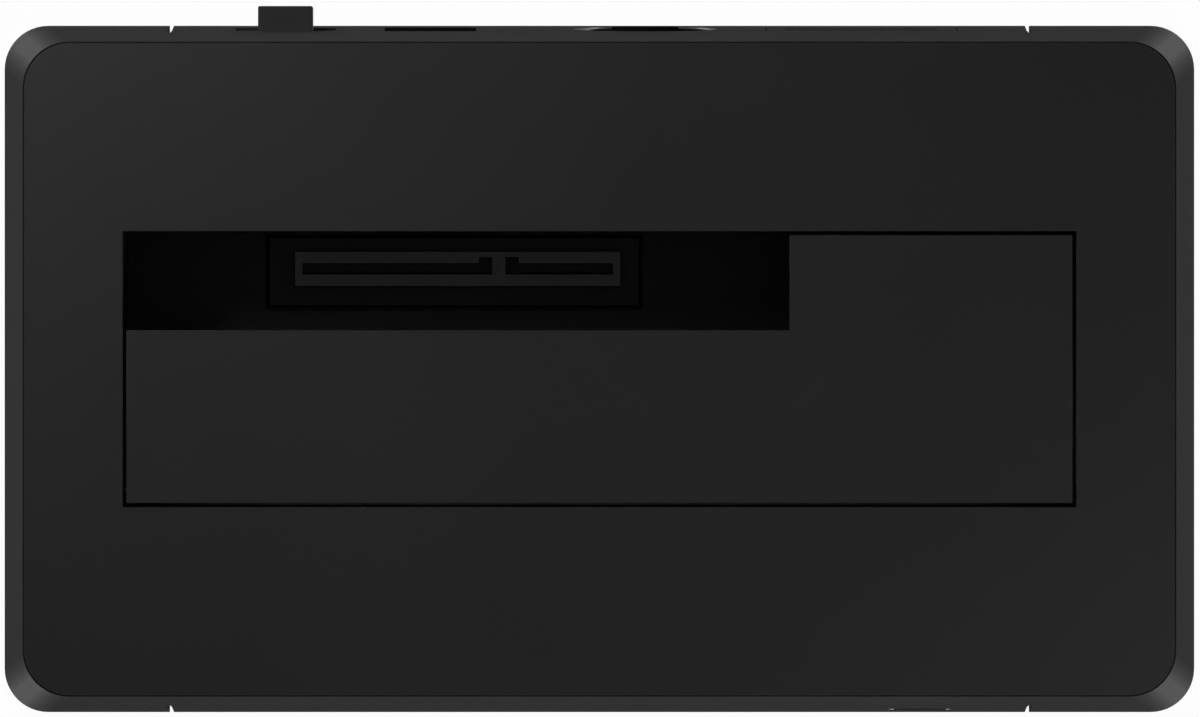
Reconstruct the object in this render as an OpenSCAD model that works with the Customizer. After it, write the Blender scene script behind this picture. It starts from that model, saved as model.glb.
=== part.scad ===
// Hard drive docking station: a hood on a base, a drive opening with a sprung L-shaped flap,
// and a circuit board with its connectors below. The feet stand at z = 0 and the rear faces +Y.

/* [Body] */
// Width across the bottom edge
body_w = 130.7; // [128:0.1:150]
// Depth across the bottom edge
body_d = 75.4; // [74:0.1:95]
// Height from the table to the top face
body_h = 60; // [54:0.5:80]
// How far each end wall leans in from bottom to top
end_lean = 3.05; // [0:0.05:3.5]
// How far the front and rear walls lean in from bottom to top
face_lean = 2.35; // [0:0.05:2.5]
// Radius of the upright corners
corner_r = 4.8; // [3:0.1:9]
// How much rounder those corners are at the top
corner_grow = 0.25; // [0:0.05:1]
// Thickness of the hood and of the raised panels
wall_t = 2.2; // [1.6:0.1:2.6]

/* [Top panel] */
// Thickness of the top panel
lid_t = 2.2; // [2:0.1:3]
// Width of the fine line between hood and top panel
lid_line = 0.1; // [0.1:0.05:0.5]
// Height of the shadow groove under the top panel's edge
lid_groove_h = 0.3; // [0.1:0.05:0.6]
// How far the shadow groove reaches in
lid_groove_d = 0.6; // [0.2:0.1:1.2]
// Width of the shoulder in the hood that carries the top panel
shoulder_w = 4; // [3:0.1:5]
// Thickness of that shoulder
shoulder_t = 2; // [1.5:0.1:3]

/* [Drive opening] */
// Width of the opening, for the wide drive
bay_w = 103.1; // [102.4:0.1:106]
// Depth of the opening from front to rear
bay_d = 29.8; // [29:0.1:33]
// Width of the open slot, for the narrow drive
slot_w = 72.1; // [71:0.1:76]
// Depth of the open slot from front to rear
slot_d = 10.7; // [10:0.1:13]
// Wall of the tub below the opening
bay_wall = 1.6; // [1.2:0.1:2]
// Floor of the tub
bay_floor_t = 1.6; // [1.2:0.1:2]
// Width of the floor window round the connector
window_w = 41.3; // [38:0.1:44]
// Depth of that window
window_d = 8.3; // [6:0.1:8.4]
// How far behind the slot's middle the window lies
window_back = 1.1; // [0:0.1:1.2]
// How far left of the slot's middle the window lies
window_left = 0.4; // [0:0.1:1]

/* [Flap] */
// Thickness of the flap
flap_t = 2; // [1.8:0.1:2.2]
// Gap round the flap
flap_gap = 0.4; // [0.3:0.05:0.6]
// Radius of the barrel along the hinge
barrel_r = 1.4; // [1.3:0.05:1.5]
// Depth of the hinge line below the top face
hinge_drop = 1.7; // [1.6:0.05:1.8]
// Radius of the hinge rod
rod_r = 0.5; // [0.4:0.05:0.6]
// Height of the ribs under the flap
flap_rib_h = 1.2; // [0.6:0.1:1.3]
// Thickness of the ribs under the flap
flap_rib_t = 1; // [0.8:0.1:1.4]

/* [Flap spring] */
// Thickness of the spring wire
wire_d = 0.32; // [0.25:0.01:0.35]
// Distance from turn to turn
spring_pitch = 0.85; // [0.8:0.05:1.2]
// Number of turns
spring_turns = 9; // [5:1:12]
// Length of the leg that lies in the tub's front wall
short_leg = 4; // [3:0.1:5]
// Length of the leg that presses on the flap
long_leg = 9; // [6:0.5:12]

/* [Base] */
// Thickness of the base floor
base_t = 2; // [1.6:0.1:3]
// Width of the raised front and rear panels
panel_w = 93.5; // [88:0.5:98]
// Height of the raised panels above the table
panel_top = 26; // [25:0.5:32]
// Width of the upright seam notches
seam_w = 0.43; // [0.3:0.01:0.6]
// Depth of the seam notches
seam_d = 0.6; // [0.3:0.05:0.8]
// Height of the fine seam above each raised panel
seam_line = 0.15; // [0.1:0.05:0.3]
// Radius of a foot
foot_r = 5; // [4:0.1:5.5]
// How far the feet stand out below the base
foot_out = 1.5; // [1:0.1:3]
// How deep a foot sits in the base
foot_in = 0.8; // [0.4:0.1:1]

/* [Connectors] */
// Height of the port centres above the board
port_rise = 6.3; // [6.2:0.1:7]
// Sideways place of the power button
button_x = -34.35; // [-38:0.05:-30]
// Width of the power button
button_w = 6; // [5:0.1:7]
// Height of the power button
button_h = 6.4; // [5:0.1:7.5]
// How far the button stands out past the bottom edge
button_out = 2.01; // [1.9:0.01:4]
// How far the button can be pushed
button_travel = 1.8; // [1:0.1:1.8]
// Width of the recess round the button
recess_w = 10.9; // [10.5:0.1:13]
// Height of that recess
recess_h = 9.4; // [9:0.1:11]
// Depth of that recess
recess_d = 0.8; // [0.4:0.1:1.2]
// Sideways place of the USB port
usb_x = -18.5; // [-20:0.05:-16]
// Width of the USB opening in the rear panel
usb_open_w = 10; // [9.7:0.1:11]
// Height of the USB opening
usb_open_h = 12.8; // [12.6:0.1:14]
// Sideways place of the power socket
jack_x = 5; // [2:0.05:8]
// Radius of the dish round the power socket
dish_r = 7.8; // [6:0.1:8]
// Depth of the dish
dish_d = 1.2; // [0.8:0.1:1.3]
// Radius of the power socket's nose
nose_r = 3.7; // [3.6:0.05:4]
// Radius of the power socket's bore
jack_bore_r = 3.15; // [2.9:0.05:3.25]
// Radius of the power socket's centre pin
jack_pin_r = 1; // [0.8:0.05:1.25]
// Sideways place of the vent insert
vent_x = 28.7; // [26:0.05:32]
// Width of the vent insert
vent_w = 21; // [18:0.1:24]
// Height of the vent insert
vent_h = 10.6; // [9:0.1:12]
// Width of the slits in it
slit_w = 16.6; // [12:0.1:17]
// Sideways place of the light window at the front
light_x = 35.1; // [30:0.05:40]
// Width of the light window
light_w = 7; // [5:0.1:9]
// Height of the light window
light_h = 2.6; // [2:0.1:3]

/* [Board] */
// Width of the circuit board
board_w = 108; // [104:0.5:108]
// Thickness of the circuit board
board_t = 1.6; // [1.2:0.1:2]
// Height of the posts that carry the board
standoff_h = 3; // [2.4:0.1:4]
// Height of the drive connector above the board
sata_h = 9; // [8:0.1:11]
// How far the drive connector stands above the tub's floor
sata_proud = 2.6; // [2:0.1:3]
// Width of the drive connector
sata_w = 35.65; // [35.2:0.05:38]
// Depth of the drive connector
sata_d = 3.84; // [3.4:0.01:4.4]
// How far behind the slot's middle the drive connector lies
sata_back = 1.4; // [0:0.1:1.6]

/* [Hidden] */

// How far a cutting shape runs past the surface it cuts
over = 1;
// Clearances: between seated pieces, round a loose fit, round the hinge rod and at a screw
seat_gap = 0.1;
loose_gap = 0.25;
run_gap = 0.05;
screw_gap = 0.05;
// Smoothness of small and large curves
fine = 24;
smooth = 48;

// Heights above the table
base_top = foot_out + base_t;
board_bottom = base_top + standoff_h;
board_top = board_bottom + board_t;
port_z = board_top + port_rise;
sata_top = board_top + sata_h;
bay_floor_top = sata_top - sata_proud;
bay_bottom = bay_floor_top - bay_floor_t;
lid_bottom = body_h - lid_t;
hinge_z = body_h - hinge_drop;
flap_bottom = body_h - flap_t;

// Places across the body, from its middle
slot_left = -bay_w / 2;
slot_right = slot_left + slot_w;
slot_front = bay_d / 2 - slot_d;
slot_mid_x = slot_left + slot_w / 2;
slot_mid_y = slot_front + slot_d / 2;
window_x = slot_mid_x - window_left;
window_y = slot_mid_y + window_back;
sata_y = slot_mid_y + sata_back;
flap_front = flap_gap - bay_d / 2;
flap_rear = bay_d / 2 - flap_gap;
flap_side = bay_w / 2 - flap_gap;
hinge_y = flap_front + barrel_r;

// Smallest radius of an inner corner
inner_r = 0.8;

// Screw posts of the case: distance of each from the bottom edge, and sizes
post_in_x = 7.85;
post_in_y = 7.7;
post_r = 3.2;
post_rib_t = 1.4;
case_x = body_w / 2 - post_in_x;
case_y = body_d / 2 - post_in_y;
boss_r = 3.7;
boss_h = 2;
case_shank_r = 1.3;
case_head_r = 2.6;
case_head_h = 1.7;
case_thread_l = 10;
case_sunk = 0.5;
boss_top = base_top + boss_h;
case_seat = foot_out + case_sunk + case_head_h;

// Feet
foot_in_x = 17.35;
foot_in_y = 11.7;
foot_x = body_w / 2 - foot_in_x;
foot_y = body_d / 2 - foot_in_y;
foot_edge = 0.4;

// Floor vents: slots below the board
floor_slot_w = 2;
floor_slot_l = 26;
floor_slot_step = 7;
floor_slot_count = 9;

// Board edges, its screws and the posts below it
board_front_in = 7.7;
board_rear_in = 3.5;
board_front = board_front_in - body_d / 2;
board_rear = body_d / 2 - board_rear_in;
board_hole_in = 4;
board_hole_r = 1.6;
board_post_r = 3;
board_shank_r = 1.2;
board_head_r = 2.3;
board_head_h = 1.5;
board_thread_l = 2.6;
board_xs = [-board_w / 2 + board_hole_in, board_w / 2 - board_hole_in];
board_ys = [board_front + board_hole_in, board_rear - board_hole_in];

// Screws that hold the tub to bosses under the top panel
bay_screw_in = 9.55;
bay_screw_x = bay_w / 2 - bay_screw_in;
bay_screw_out = 5;
bay_screw_y = bay_d / 2 + bay_wall + bay_screw_out;
bay_boss_r = 3;
bay_boss_h = 4;
bay_ear_t = 2;
bay_ear_r = 3.4;
bay_shank_r = 1.1;
bay_hole_r = 1.4;
bay_head_r = 2.2;
bay_head_h = 1.5;
bay_thread_l = 3.2;
bay_ear_top = lid_bottom - bay_boss_h - seat_gap;
bay_ear_bottom = bay_ear_top - bay_ear_t;

// Stop tabs behind the flap, and the notches for them in the tub. Their undersides clear the
// tub's front wall when the flap is folded down.
tab_w = 5;
tab_out = 0.7;
tab_in = 2;
tab_xs = [slot_right + (flap_side - slot_right) / 4, flap_side - (flap_side - slot_right) / 4];
tab_top = lid_bottom - 2 * seat_gap;
tab_bottom = hinge_z - (hinge_y + bay_d / 2) + 2 * seat_gap;
tab_end = bay_d / 2 + tab_out;
tab_reach = tab_end - hinge_y;
wall_reach = bay_d / 2 - hinge_y;
notch_bottom = tab_bottom - sqrt(pow(tab_reach, 2) - pow(wall_reach, 2)) - 2 * loose_gap;

// Flap ribs
cross_ribs = 5;

// Hinge rod ends in the top panel
rod_end = 2;
rod_half = bay_w / 2 + rod_end;

// Spring round the rod
coil_gap = 0.12;
pocket_gap = 0.1;
leg_rise_share = 0.8;
coil_r = rod_r + coil_gap + wire_d / 2;
spring_sides = 6;
spring_steps = 8;
spring_l = spring_turns * spring_pitch;
spring_x = -flap_side / 2;
pocket_r = coil_r + wire_d / 2 + pocket_gap;
pocket_side = 0.6;
leg_notch_w = 0.8;

// Top panel hooks under the shoulder
hook_w = 6;
hook_t = 1.2;
hook_bite = 0.7;
hook_lip = 1.5;
hook_share = 0.62;
mouth_w = 2 * (half_w(lid_bottom) - wall_t - shoulder_w);
mouth_d = 2 * (half_d(lid_bottom) - wall_t - shoulder_w);
mouth_r = 6;

// Power button and its switch
button_gap = 0.2;
flange_out = 1.4;
flange_t = 1;
stem_w = 3;
stem_l = 6.2;
stem_grip = 2;
switch_w = 8;
switch_d = 12;
switch_gap = 0.4;
panel_in_y = half_d(port_z + recess_h / 2) - wall_t;
flange_y = panel_in_y - seat_gap;
switch_face = flange_y - flange_t - button_travel - switch_gap;
switch_top_rise = 2.8;

// USB port: outline of its shell and the blocks inside
usb_w = 9.2;
usb_lower_h = 8.2;
usb_upper_w = 6.6;
usb_h = 12.2;
usb_chamfer = 1.5;
usb_sheet = 0.35;
usb_l = 18;
usb_sunk = 0.4;
usb_front = half_d(port_z + usb_h / 2) - usb_sunk;
usb_rear = usb_front - usb_l;
usb_bottom = board_top + seat_gap;
usb_block_l = 6.5;
usb_tongue_w = 5.6;
usb_tongue_h = 3.2;
usb_tongue_in = 1.2;
usb_blade_h = 0.9;
usb_pin_w = 0.9;
usb_pin_t = 0.15;
usb_pin_l = 7;
usb_fast_pin_w = 0.5;

// Power socket
jack_w = 9;
jack_h = 11;
jack_l = 14;
jack_face = half_d(port_z + jack_h / 2) - wall_t - seat_gap;
nose_out = 0.3;
nose_front = half_d(port_z) + nose_out;
jack_bore_l = 10;
jack_pin_sunk = 0.6;
jack_pin_tip = 0.4;
jack_rivet_r = 1.4;
leaf_w = 2;
leaf_t = 0.3;
leaf_l = 7;
leaf_in = 1.2;

// Vent insert
vent_gap = 0.1;
vent_lip = 1;
vent_lip_t = 0.8;
slit_h = 1.1;
slit_step = 2.1;
slit_count = 4;

// Light window
light_rise = 4;
light_z = board_top + light_rise;
light_gap = 0.1;
light_bar_w = 3;
light_bar_t = 2;
led_w = 3.2;
led_d = 2.8;
led_h = 1.4;
led_in = 3.2;
led_y = board_front + led_in;
light_led_gap = 0.3;

// Drive connector
sata_pitch = 1.27;
power_pins = 15;
data_pins = 7;
sata_slot_t = 1.15;
sata_slot_depth = 5.5;
power_slot_w = 20.7;
data_slot_w = 11.7;
sata_slot_between = 1.5;
key_w = 1.39;
key_d = 0.67;
sata_end = (sata_w - power_slot_w - data_slot_w - sata_slot_between) / 2;
sata_flange_d = 1.4;
sata_flange_h = 2;
// Collar of the drive connector, which fills the floor window
collar_gap = 0.3;
collar_sunk = 0.5;
collar_t = 1.2;
leaf_pin_w = 0.7;
leaf_pin_t = 0.22;
leaf_pin_short = 2.2;
solder_l = 1.5;
solder_t = 0.2;

// Chips and small parts on the board
chip_w = 10;
chip_h = 1.4;
chip_off = 0.12;
lead_w = 0.26;
lead_t = 0.16;
lead_l = 1;
lead_step = 0.65;
lead_count = 12;
chip_share = [0.34, -0.11];
chip_x = chip_share[0] * board_w / 2;
chip_y = chip_share[1] * board_w / 2;
dimple_r = 0.6;
dimple_d = 0.15;
coil_w = 6;
coil_h = 3;
coil_core_r = 2.3;
coil_end_t = 0.7;
coil_shares = [0.33, 0.5];
parts_y = (board_front - bay_d / 2 - bay_wall) / 2;
rear_parts_y = (board_rear + bay_d / 2 + bay_wall) / 2;
can_r = 3.15;
can_h = 7.2;
can_foot_w = 6.6;
can_foot_h = 0.9;
can_groove_r = 2.85;
can_groove_h = 0.6;
can_rise = 1.6;
can_shares = [-0.74, -0.57, 0.04];
crystal_w = 10.5;
crystal_d = 4.4;
crystal_h = 3.2;
crystal_base_h = 0.5;
crystal_base_out = 0.3;
crystal_gap = 3.5;
crystal_x = chip_x + chip_w / 2 + crystal_gap + crystal_w / 2;
so_w = 3.9;
so_l = 4.9;
so_h = 1.5;
so_lead_w = 0.4;
so_lead_step = 1.27;
so_leads = 4;
so_shares = [-0.33, 0.17];
bit_w = 1.6;
bit_d = 0.8;
bit_h = 0.6;
bit_cap_l = 0.3;
bit_step = 3;
bit_rows = 2;
bit_columns = 6;
bit_shares = [[-0.78, -0.15], [-0.3, -0.15], [0.3, 0.36]];

plastic = [0.13, 0.13, 0.135];
plastic_dark = [0.07, 0.07, 0.075];
steel = [0.7, 0.7, 0.72];
gold = [0.83, 0.66, 0.3];
green = [0.05, 0.3, 0.16];

// Height z as a share of the way from the bottom edge to the top
function lean_share(z) = (z - foot_out) / (body_h - foot_out);
// Half the body's width and depth at height z
function half_w(z) = body_w / 2 - end_lean * lean_share(z);
function half_d(z) = body_d / 2 - face_lean * lean_share(z);
// Radius of the upright corners at height z
function corner_at(z) = corner_r + corner_grow * lean_share(z);

// The button stands out at the rear, so the model shifts to keep its box centred
module placed() {
  translate([0, -button_out / 2, 0]) children();
}

module rounded_rect(w, d, r) {
  square([w - 2 * r, d], center = true);
  square([w, d - 2 * r], center = true);
  for (x = [r - w / 2, w / 2 - r], y = [r - d / 2, d / 2 - r]) {
    translate([x, y]) circle(r = r, $fn = smooth);
  }
}

// Points round a rounded rectangle, from the middle of its right side on
function rounded_points(w, d, r) = [
  for (corner = [[1, 1], [-1, 1], [-1, -1], [1, -1]], step = [0 : smooth / 4])
    let (turn = corner[0] * corner[1] > 0 ? step : smooth / 4 - step, a = 360 * turn / smooth)
      [corner[0] * (w / 2 - r + r * cos(a)), corner[1] * (d / 2 - r + r * sin(a))]
];

// Points round the leaning body at height z, smaller all round by inset
function body_ring(z, inset) =
  let (w = 2 * (half_w(z) - inset), d = 2 * (half_d(z) - inset), r = max(corner_at(z) - inset, inner_r))
    [for (p = rounded_points(w, d, r)) [p[0], p[1], z]];

// The leaning body between two heights, smaller all round by inset
module leaning(z0, z1, inset) {
  low = body_ring(z0, inset);
  high = body_ring(z1, inset);
  n = len(low);
  bottom = [[for (i = [0 : n - 1]) i]];
  top = [[for (i = [0 : n - 1]) 2 * n - 1 - i]];
  sides = [for (i = [0 : n - 1]) let (j = (i + 1) % n) [i, n + i, n + j, j]];
  polyhedron(concat(low, high), concat(bottom, top, sides));
}

// A leaning shell between two insets
module leaning_wall(z0, z1, outer, inner) {
  difference() {
    leaning(z0, z1, outer);
    leaning(z0 - over, z1 + over, inner);
  }
}

// A box by its lowest and highest corners
module span(low, high) {
  translate(low) cube(high - low);
}

// A round bar along Y from one y to another
module bar_y(x, y0, y1, z, r) {
  translate([x, y0, z]) rotate([-90, 0, 0]) cylinder(h = y1 - y0, r = r, $fn = smooth);
}

// A round bar along X from one x to another
module bar_x(x0, x1, y, z, r) {
  translate([x0, y, z]) rotate([0, 90, 0]) cylinder(h = x1 - x0, r = r, $fn = smooth);
}

// Four copies, one in each quarter
module quarters(x, y) {
  for (sx = [-1, 1], sy = [-1, 1]) {
    translate([sx * x, sy * y, 0]) children();
  }
}

// Pan-head screw that points up, with its head's upper face at z = 0
module screw(shank_r, shank_l, head_r, head_h) {
  cross_w = head_r / 3;
  difference() {
    union() {
      cylinder(h = shank_l, r = shank_r, $fn = smooth);
      translate([0, 0, -head_h / 2]) cylinder(h = head_h / 2, r = head_r, $fn = smooth);
      translate([0, 0, -head_h]) cylinder(h = head_h / 2, r1 = head_r * 2 / 3, r2 = head_r, $fn = smooth);
    }
    for (turn = [0, 90]) {
      rotate([0, 0, turn])
        translate([0, 0, -head_h]) cube([head_r, cross_w, head_h], center = true);
    }
  }
}

// Rib in the plane of X and Z whose far edge follows a leaning wall
module post_rib(near, far_low, far_high, bottom, top) {
  translate([0, post_rib_t / 2, 0]) rotate([90, 0, 0]) linear_extrude(height = post_rib_t)
    polygon([[near, bottom], [far_low, bottom], [far_high, top], [near, top]]);
}

// Screw posts of the hood, each with two ribs to the walls
module case_posts(bottom, top) {
  into = wall_t / 2;
  quarters(case_x, case_y) {
    translate([0, 0, bottom]) cylinder(h = top - bottom, r = post_r, $fn = smooth);
  }
  for (sx = [-1, 1], sy = [-1, 1]) {
    translate([0, sy * case_y, 0]) mirror([sx < 0 ? 1 : 0, 0, 0])
      post_rib(case_x, half_w(bottom) - into, half_w(top) - into, bottom, top);
    translate([sx * case_x, 0, 0]) rotate([0, 0, 90 * sy])
      post_rib(case_y, half_d(bottom) - into, half_d(top) - into, bottom, top);
  }
}

// Hood: four leaning walls and the shoulder for the top panel
module upper_shell() {
  shoulder_bottom = lid_bottom - shoulder_t;
  color(plastic) placed() difference() {
    union() {
      difference() {
        leaning(foot_out, lid_bottom, 0);
        leaning(foot_out, shoulder_bottom, wall_t);
      }
      case_posts(boss_top + seat_gap, shoulder_bottom + shoulder_t / 2);
    }
    translate([0, 0, shoulder_bottom - over])
      linear_extrude(height = shoulder_t + 2 * over) rounded_rect(mouth_w, mouth_d, mouth_r);
    span([-panel_w / 2 - seam_w, -body_d, foot_out - over],
      [panel_w / 2 + seam_w, body_d, panel_top + seam_line]);
    quarters(case_x, case_y) {
      cylinder(h = case_seat + case_thread_l + over, r = case_shank_r + screw_gap, $fn = smooth);
    }
  }
}

// Hook that grips the shoulder's edge from below; it points to +Y
module hook() {
  stem_top = lid_bottom + lid_t / 2;
  lip_top = lid_bottom - shoulder_t - seat_gap;
  face = -seat_gap;
  translate([-hook_w / 2, 0, 0]) rotate([90, 0, 90]) linear_extrude(height = hook_w)
    polygon([
      [face - hook_t, stem_top], [face, stem_top], [face, lip_top], [face + hook_bite, lip_top],
      [face, lip_top - hook_lip], [face - hook_t, lip_top - hook_lip]
    ]);
}

module lid_hooks() {
  for (side = [0, 1], x = [-1, 0, 1]) {
    rotate([0, 0, 180 * side])
      translate([x * hook_share * mouth_w / 2, mouth_d / 2, 0]) hook();
  }
  for (side = [-1, 1]) {
    rotate([0, 0, -90 * side]) translate([0, mouth_w / 2, 0]) hook();
  }
}

// Room for the hinge rod: a round hole that is open downwards
module rod_room(x0, x1) {
  r = rod_r + run_gap;
  bar_x(x0, x1, hinge_y, hinge_z, r);
  span([x0, hinge_y - r, bay_ear_bottom], [x1, hinge_y + r, hinge_z]);
}

// Flat top plate with the drive opening
module top_panel() {
  color(plastic) placed() difference() {
    union() {
      leaning(lid_bottom + lid_groove_h, body_h, lid_line);
      leaning(lid_bottom, lid_bottom + lid_t / 2, lid_line + lid_groove_d);
      lid_hooks();
      quarters(bay_screw_x, bay_screw_y) {
        translate([0, 0, lid_bottom - bay_boss_h])
          cylinder(h = bay_boss_h + lid_t / 2, r = bay_boss_r, $fn = smooth);
      }
    }
    span([-bay_w / 2, -bay_d / 2, lid_bottom - over], [bay_w / 2, bay_d / 2, body_h + over]);
    quarters(bay_screw_x, bay_screw_y) {
      translate([0, 0, lid_bottom - bay_boss_h - over])
        cylinder(h = bay_thread_l + screw_gap + over, r = bay_shank_r + screw_gap, $fn = smooth);
    }
    for (side = [-1, 1]) {
      mirror([side < 0 ? 1 : 0, 0, 0]) rod_room(bay_w / 2 - over, rod_half + seat_gap);
    }
  }
}

// Raised panel stock: the outer skin, with a wider tongue behind the seam notches
module raised_panels() {
  tongue = panel_w / 2 + seam_w - seat_gap;
  intersection() {
    leaning_wall(foot_out, panel_top, 0, wall_t);
    span([-panel_w / 2, -body_d, foot_out], [panel_w / 2, body_d, panel_top]);
  }
  intersection() {
    leaning_wall(foot_out, panel_top, seam_d, wall_t);
    span([-tongue, -body_d, foot_out], [tongue, body_d, panel_top]);
  }
}

// Openings in the rear panel
module rear_openings() {
  rear = body_d;
  inside = panel_in_y - over;
  // recess and window of the power button
  span([button_x - recess_w / 2, half_d(port_z) - recess_d, port_z - recess_h / 2],
    [button_x + recess_w / 2, rear, port_z + recess_h / 2]);
  span([button_x - button_w / 2 - button_gap, inside, port_z - button_h / 2 - button_gap],
    [button_x + button_w / 2 + button_gap, rear, port_z + button_h / 2 + button_gap]);
  // USB opening
  span([usb_x - usb_open_w / 2, inside, port_z - usb_open_h / 2],
    [usb_x + usb_open_w / 2, rear, port_z + usb_open_h / 2]);
  // dish and hole of the power socket
  slope = (dish_r - nose_r - 3 * loose_gap) / dish_d;
  translate([jack_x, half_d(port_z) - dish_d, port_z]) rotate([-90, 0, 0])
    cylinder(h = dish_d + over, r1 = dish_r - slope * dish_d, r2 = dish_r + slope * over, $fn = smooth);
  bar_y(jack_x, inside, rear, port_z, nose_r + loose_gap);
  // window of the vent insert
  span([vent_x - vent_w / 2, inside, port_z - vent_h / 2], [vent_x + vent_w / 2, rear, port_z + vent_h / 2]);
}

// Pill-shaped bar along Y
module pill_bar(y0, y1, w, h) {
  side = w / 2 - h / 2;
  bar_y(light_x - side, y0, y1, light_z, h / 2);
  bar_y(light_x + side, y0, y1, light_z, h / 2);
  span([light_x - side, y0, light_z - h / 2], [light_x + side, y1, light_z + h / 2]);
}

// Floor with a raised front panel and a raised rear panel
module base_shell() {
  color(plastic) placed() difference() {
    union() {
      leaning(foot_out, base_top, wall_t + seat_gap);
      intersection() {
        leaning(foot_out, base_top, wall_t / 2);
        span([-panel_w / 2, -body_d, foot_out], [panel_w / 2, body_d, base_top]);
      }
      raised_panels();
      quarters(case_x, case_y) {
        translate([0, 0, foot_out]) cylinder(h = base_t + boss_h, r = boss_r, $fn = smooth);
      }
      for (x = board_xs, y = board_ys) {
        translate([x, y, foot_out + base_t / 2])
          cylinder(h = base_t / 2 + standoff_h, r = board_post_r, $fn = smooth);
      }
    }
    rear_openings();
    pill_bar(-body_d, -half_d(light_z) + wall_t + over, light_w, light_h);
    quarters(foot_x, foot_y) {
      translate([0, 0, foot_out - over]) cylinder(h = foot_in + over, r = foot_r + seat_gap, $fn = smooth);
    }
    quarters(case_x, case_y) {
      cylinder(h = boss_top + over, r = case_shank_r + loose_gap, $fn = smooth);
      cylinder(h = case_seat, r = case_head_r + loose_gap, $fn = smooth);
    }
    for (x = board_xs, y = board_ys) {
      translate([x, y, board_bottom - board_thread_l - screw_gap])
        cylinder(h = board_thread_l + over, r = board_shank_r + screw_gap, $fn = smooth);
    }
    for (i = [0 : floor_slot_count - 1]) {
      x = (i - (floor_slot_count - 1) / 2) * floor_slot_step;
      translate([x, 0, foot_out - over]) linear_extrude(height = base_t + 2 * over)
        rounded_rect(floor_slot_w, floor_slot_l, floor_slot_w / 3);
    }
  }
}

// Tub below the opening
module drive_bay() {
  outer_w = bay_w / 2 + bay_wall;
  outer_d = bay_d / 2 + bay_wall;
  color(plastic_dark) placed() difference() {
    union() {
      span([-outer_w, -outer_d, bay_bottom], [outer_w, outer_d, lid_bottom]);
      for (sx = [-1, 1], sy = [-1, 1]) {
        mirror([sx < 0 ? 1 : 0, 0, 0]) mirror([0, sy < 0 ? 1 : 0, 0]) bay_ear(outer_d);
      }
    }
    span([-bay_w / 2, -bay_d / 2, bay_floor_top], [bay_w / 2, bay_d / 2, lid_bottom + over]);
    span([window_x - window_w / 2, window_y - window_d / 2, bay_bottom - over],
      [window_x + window_w / 2, window_y + window_d / 2, bay_floor_top + over]);
    for (side = [-1, 1]) {
      mirror([side < 0 ? 1 : 0, 0, 0]) bar_x(bay_w / 2 - over, rod_half + seat_gap, hinge_y, hinge_z, rod_r + run_gap);
    }
    for (x = tab_xs) {
      span([x - tab_w / 2 - flap_gap, 0, notch_bottom], [x + tab_w / 2 + flap_gap, outer_d + over, lid_bottom + over]);
    }
    span([spring_x - leg_notch_w / 2, -outer_d - over, hinge_z - coil_r - wire_d],
      [spring_x + leg_notch_w / 2, 0, lid_bottom + over]);
  }
}

// Screw ear of the tub, with a rib below it
module bay_ear(wall_y) {
  difference() {
    union() {
      translate([bay_screw_x, bay_screw_y, bay_ear_bottom]) cylinder(h = bay_ear_t, r = bay_ear_r, $fn = smooth);
      span([bay_screw_x - bay_ear_r, wall_y - bay_wall / 2, bay_ear_bottom],
        [bay_screw_x + bay_ear_r, bay_screw_y, bay_ear_top]);
      for (side = [-1, 1]) {
        translate([bay_screw_x + side * (bay_ear_r - bay_wall / 2) - bay_wall / 4, wall_y, bay_ear_bottom])
          rotate([90, 0, 90]) linear_extrude(height = bay_wall / 2)
            polygon([[-bay_wall / 2, 0], [bay_screw_out / 2, 0], [-bay_wall / 2, -bay_screw_out * 2]]);
      }
    }
    translate([bay_screw_x, bay_screw_y, bay_ear_bottom - over])
      cylinder(h = bay_ear_t + 2 * over, r = bay_hole_r, $fn = smooth);
  }
}

// L-shaped flap with its hinge barrel, ribs and two stop tabs
module drive_flap() {
  rib_bottom = flap_bottom - flap_rib_h;
  rib_front = hinge_y + barrel_r + flap_rib_t;
  color(plastic) placed() difference() {
    union() {
      translate([0, 0, flap_bottom]) linear_extrude(height = flap_t)
        polygon([
          [-flap_side, flap_front], [flap_side, flap_front], [flap_side, flap_rear],
          [slot_right, flap_rear], [slot_right, slot_front], [-flap_side, slot_front]
        ]);
      bar_x(-flap_side, flap_side, hinge_y, hinge_z, barrel_r);
      // ribs along the edges
      span([-flap_side + flap_rib_t, slot_front - 2 * flap_rib_t, rib_bottom],
        [slot_right + 2 * flap_rib_t, slot_front - flap_rib_t, flap_bottom]);
      span([slot_right + flap_rib_t, slot_front - 2 * flap_rib_t, rib_bottom],
        [slot_right + 2 * flap_rib_t, flap_rear - flap_rib_t, flap_bottom]);
      // cross ribs
      for (i = [0 : cross_ribs - 1]) {
        x = -flap_side + flap_rib_t + i * (flap_side + slot_right) / (cross_ribs - 1);
        span([x, rib_front, rib_bottom], [x + flap_rib_t, slot_front - flap_rib_t, flap_bottom]);
      }
      span([flap_side - 2 * flap_rib_t, rib_front, rib_bottom],
        [flap_side - flap_rib_t, flap_rear - flap_rib_t, flap_bottom]);
      // stop tabs, stepped down below the top panel
      for (x = tab_xs) {
        span([x - tab_w / 2, flap_rear - tab_in, tab_bottom], [x + tab_w / 2, flap_rear, flap_bottom]);
        span([x - tab_w / 2, flap_rear - tab_in, tab_bottom], [x + tab_w / 2, tab_end, tab_top]);
      }
    }
    bar_x(-flap_side - over, flap_side + over, hinge_y, hinge_z, rod_r + run_gap);
    // pocket for the spring, open downwards
    bar_x(spring_x - pocket_side, spring_x + spring_l + pocket_side, hinge_y, hinge_z, pocket_r);
    span([spring_x - pocket_side, flap_front - over, hinge_z - 2 * barrel_r],
      [spring_x + spring_l + pocket_side, hinge_y + pocket_r, flap_bottom]);
  }
}

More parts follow.
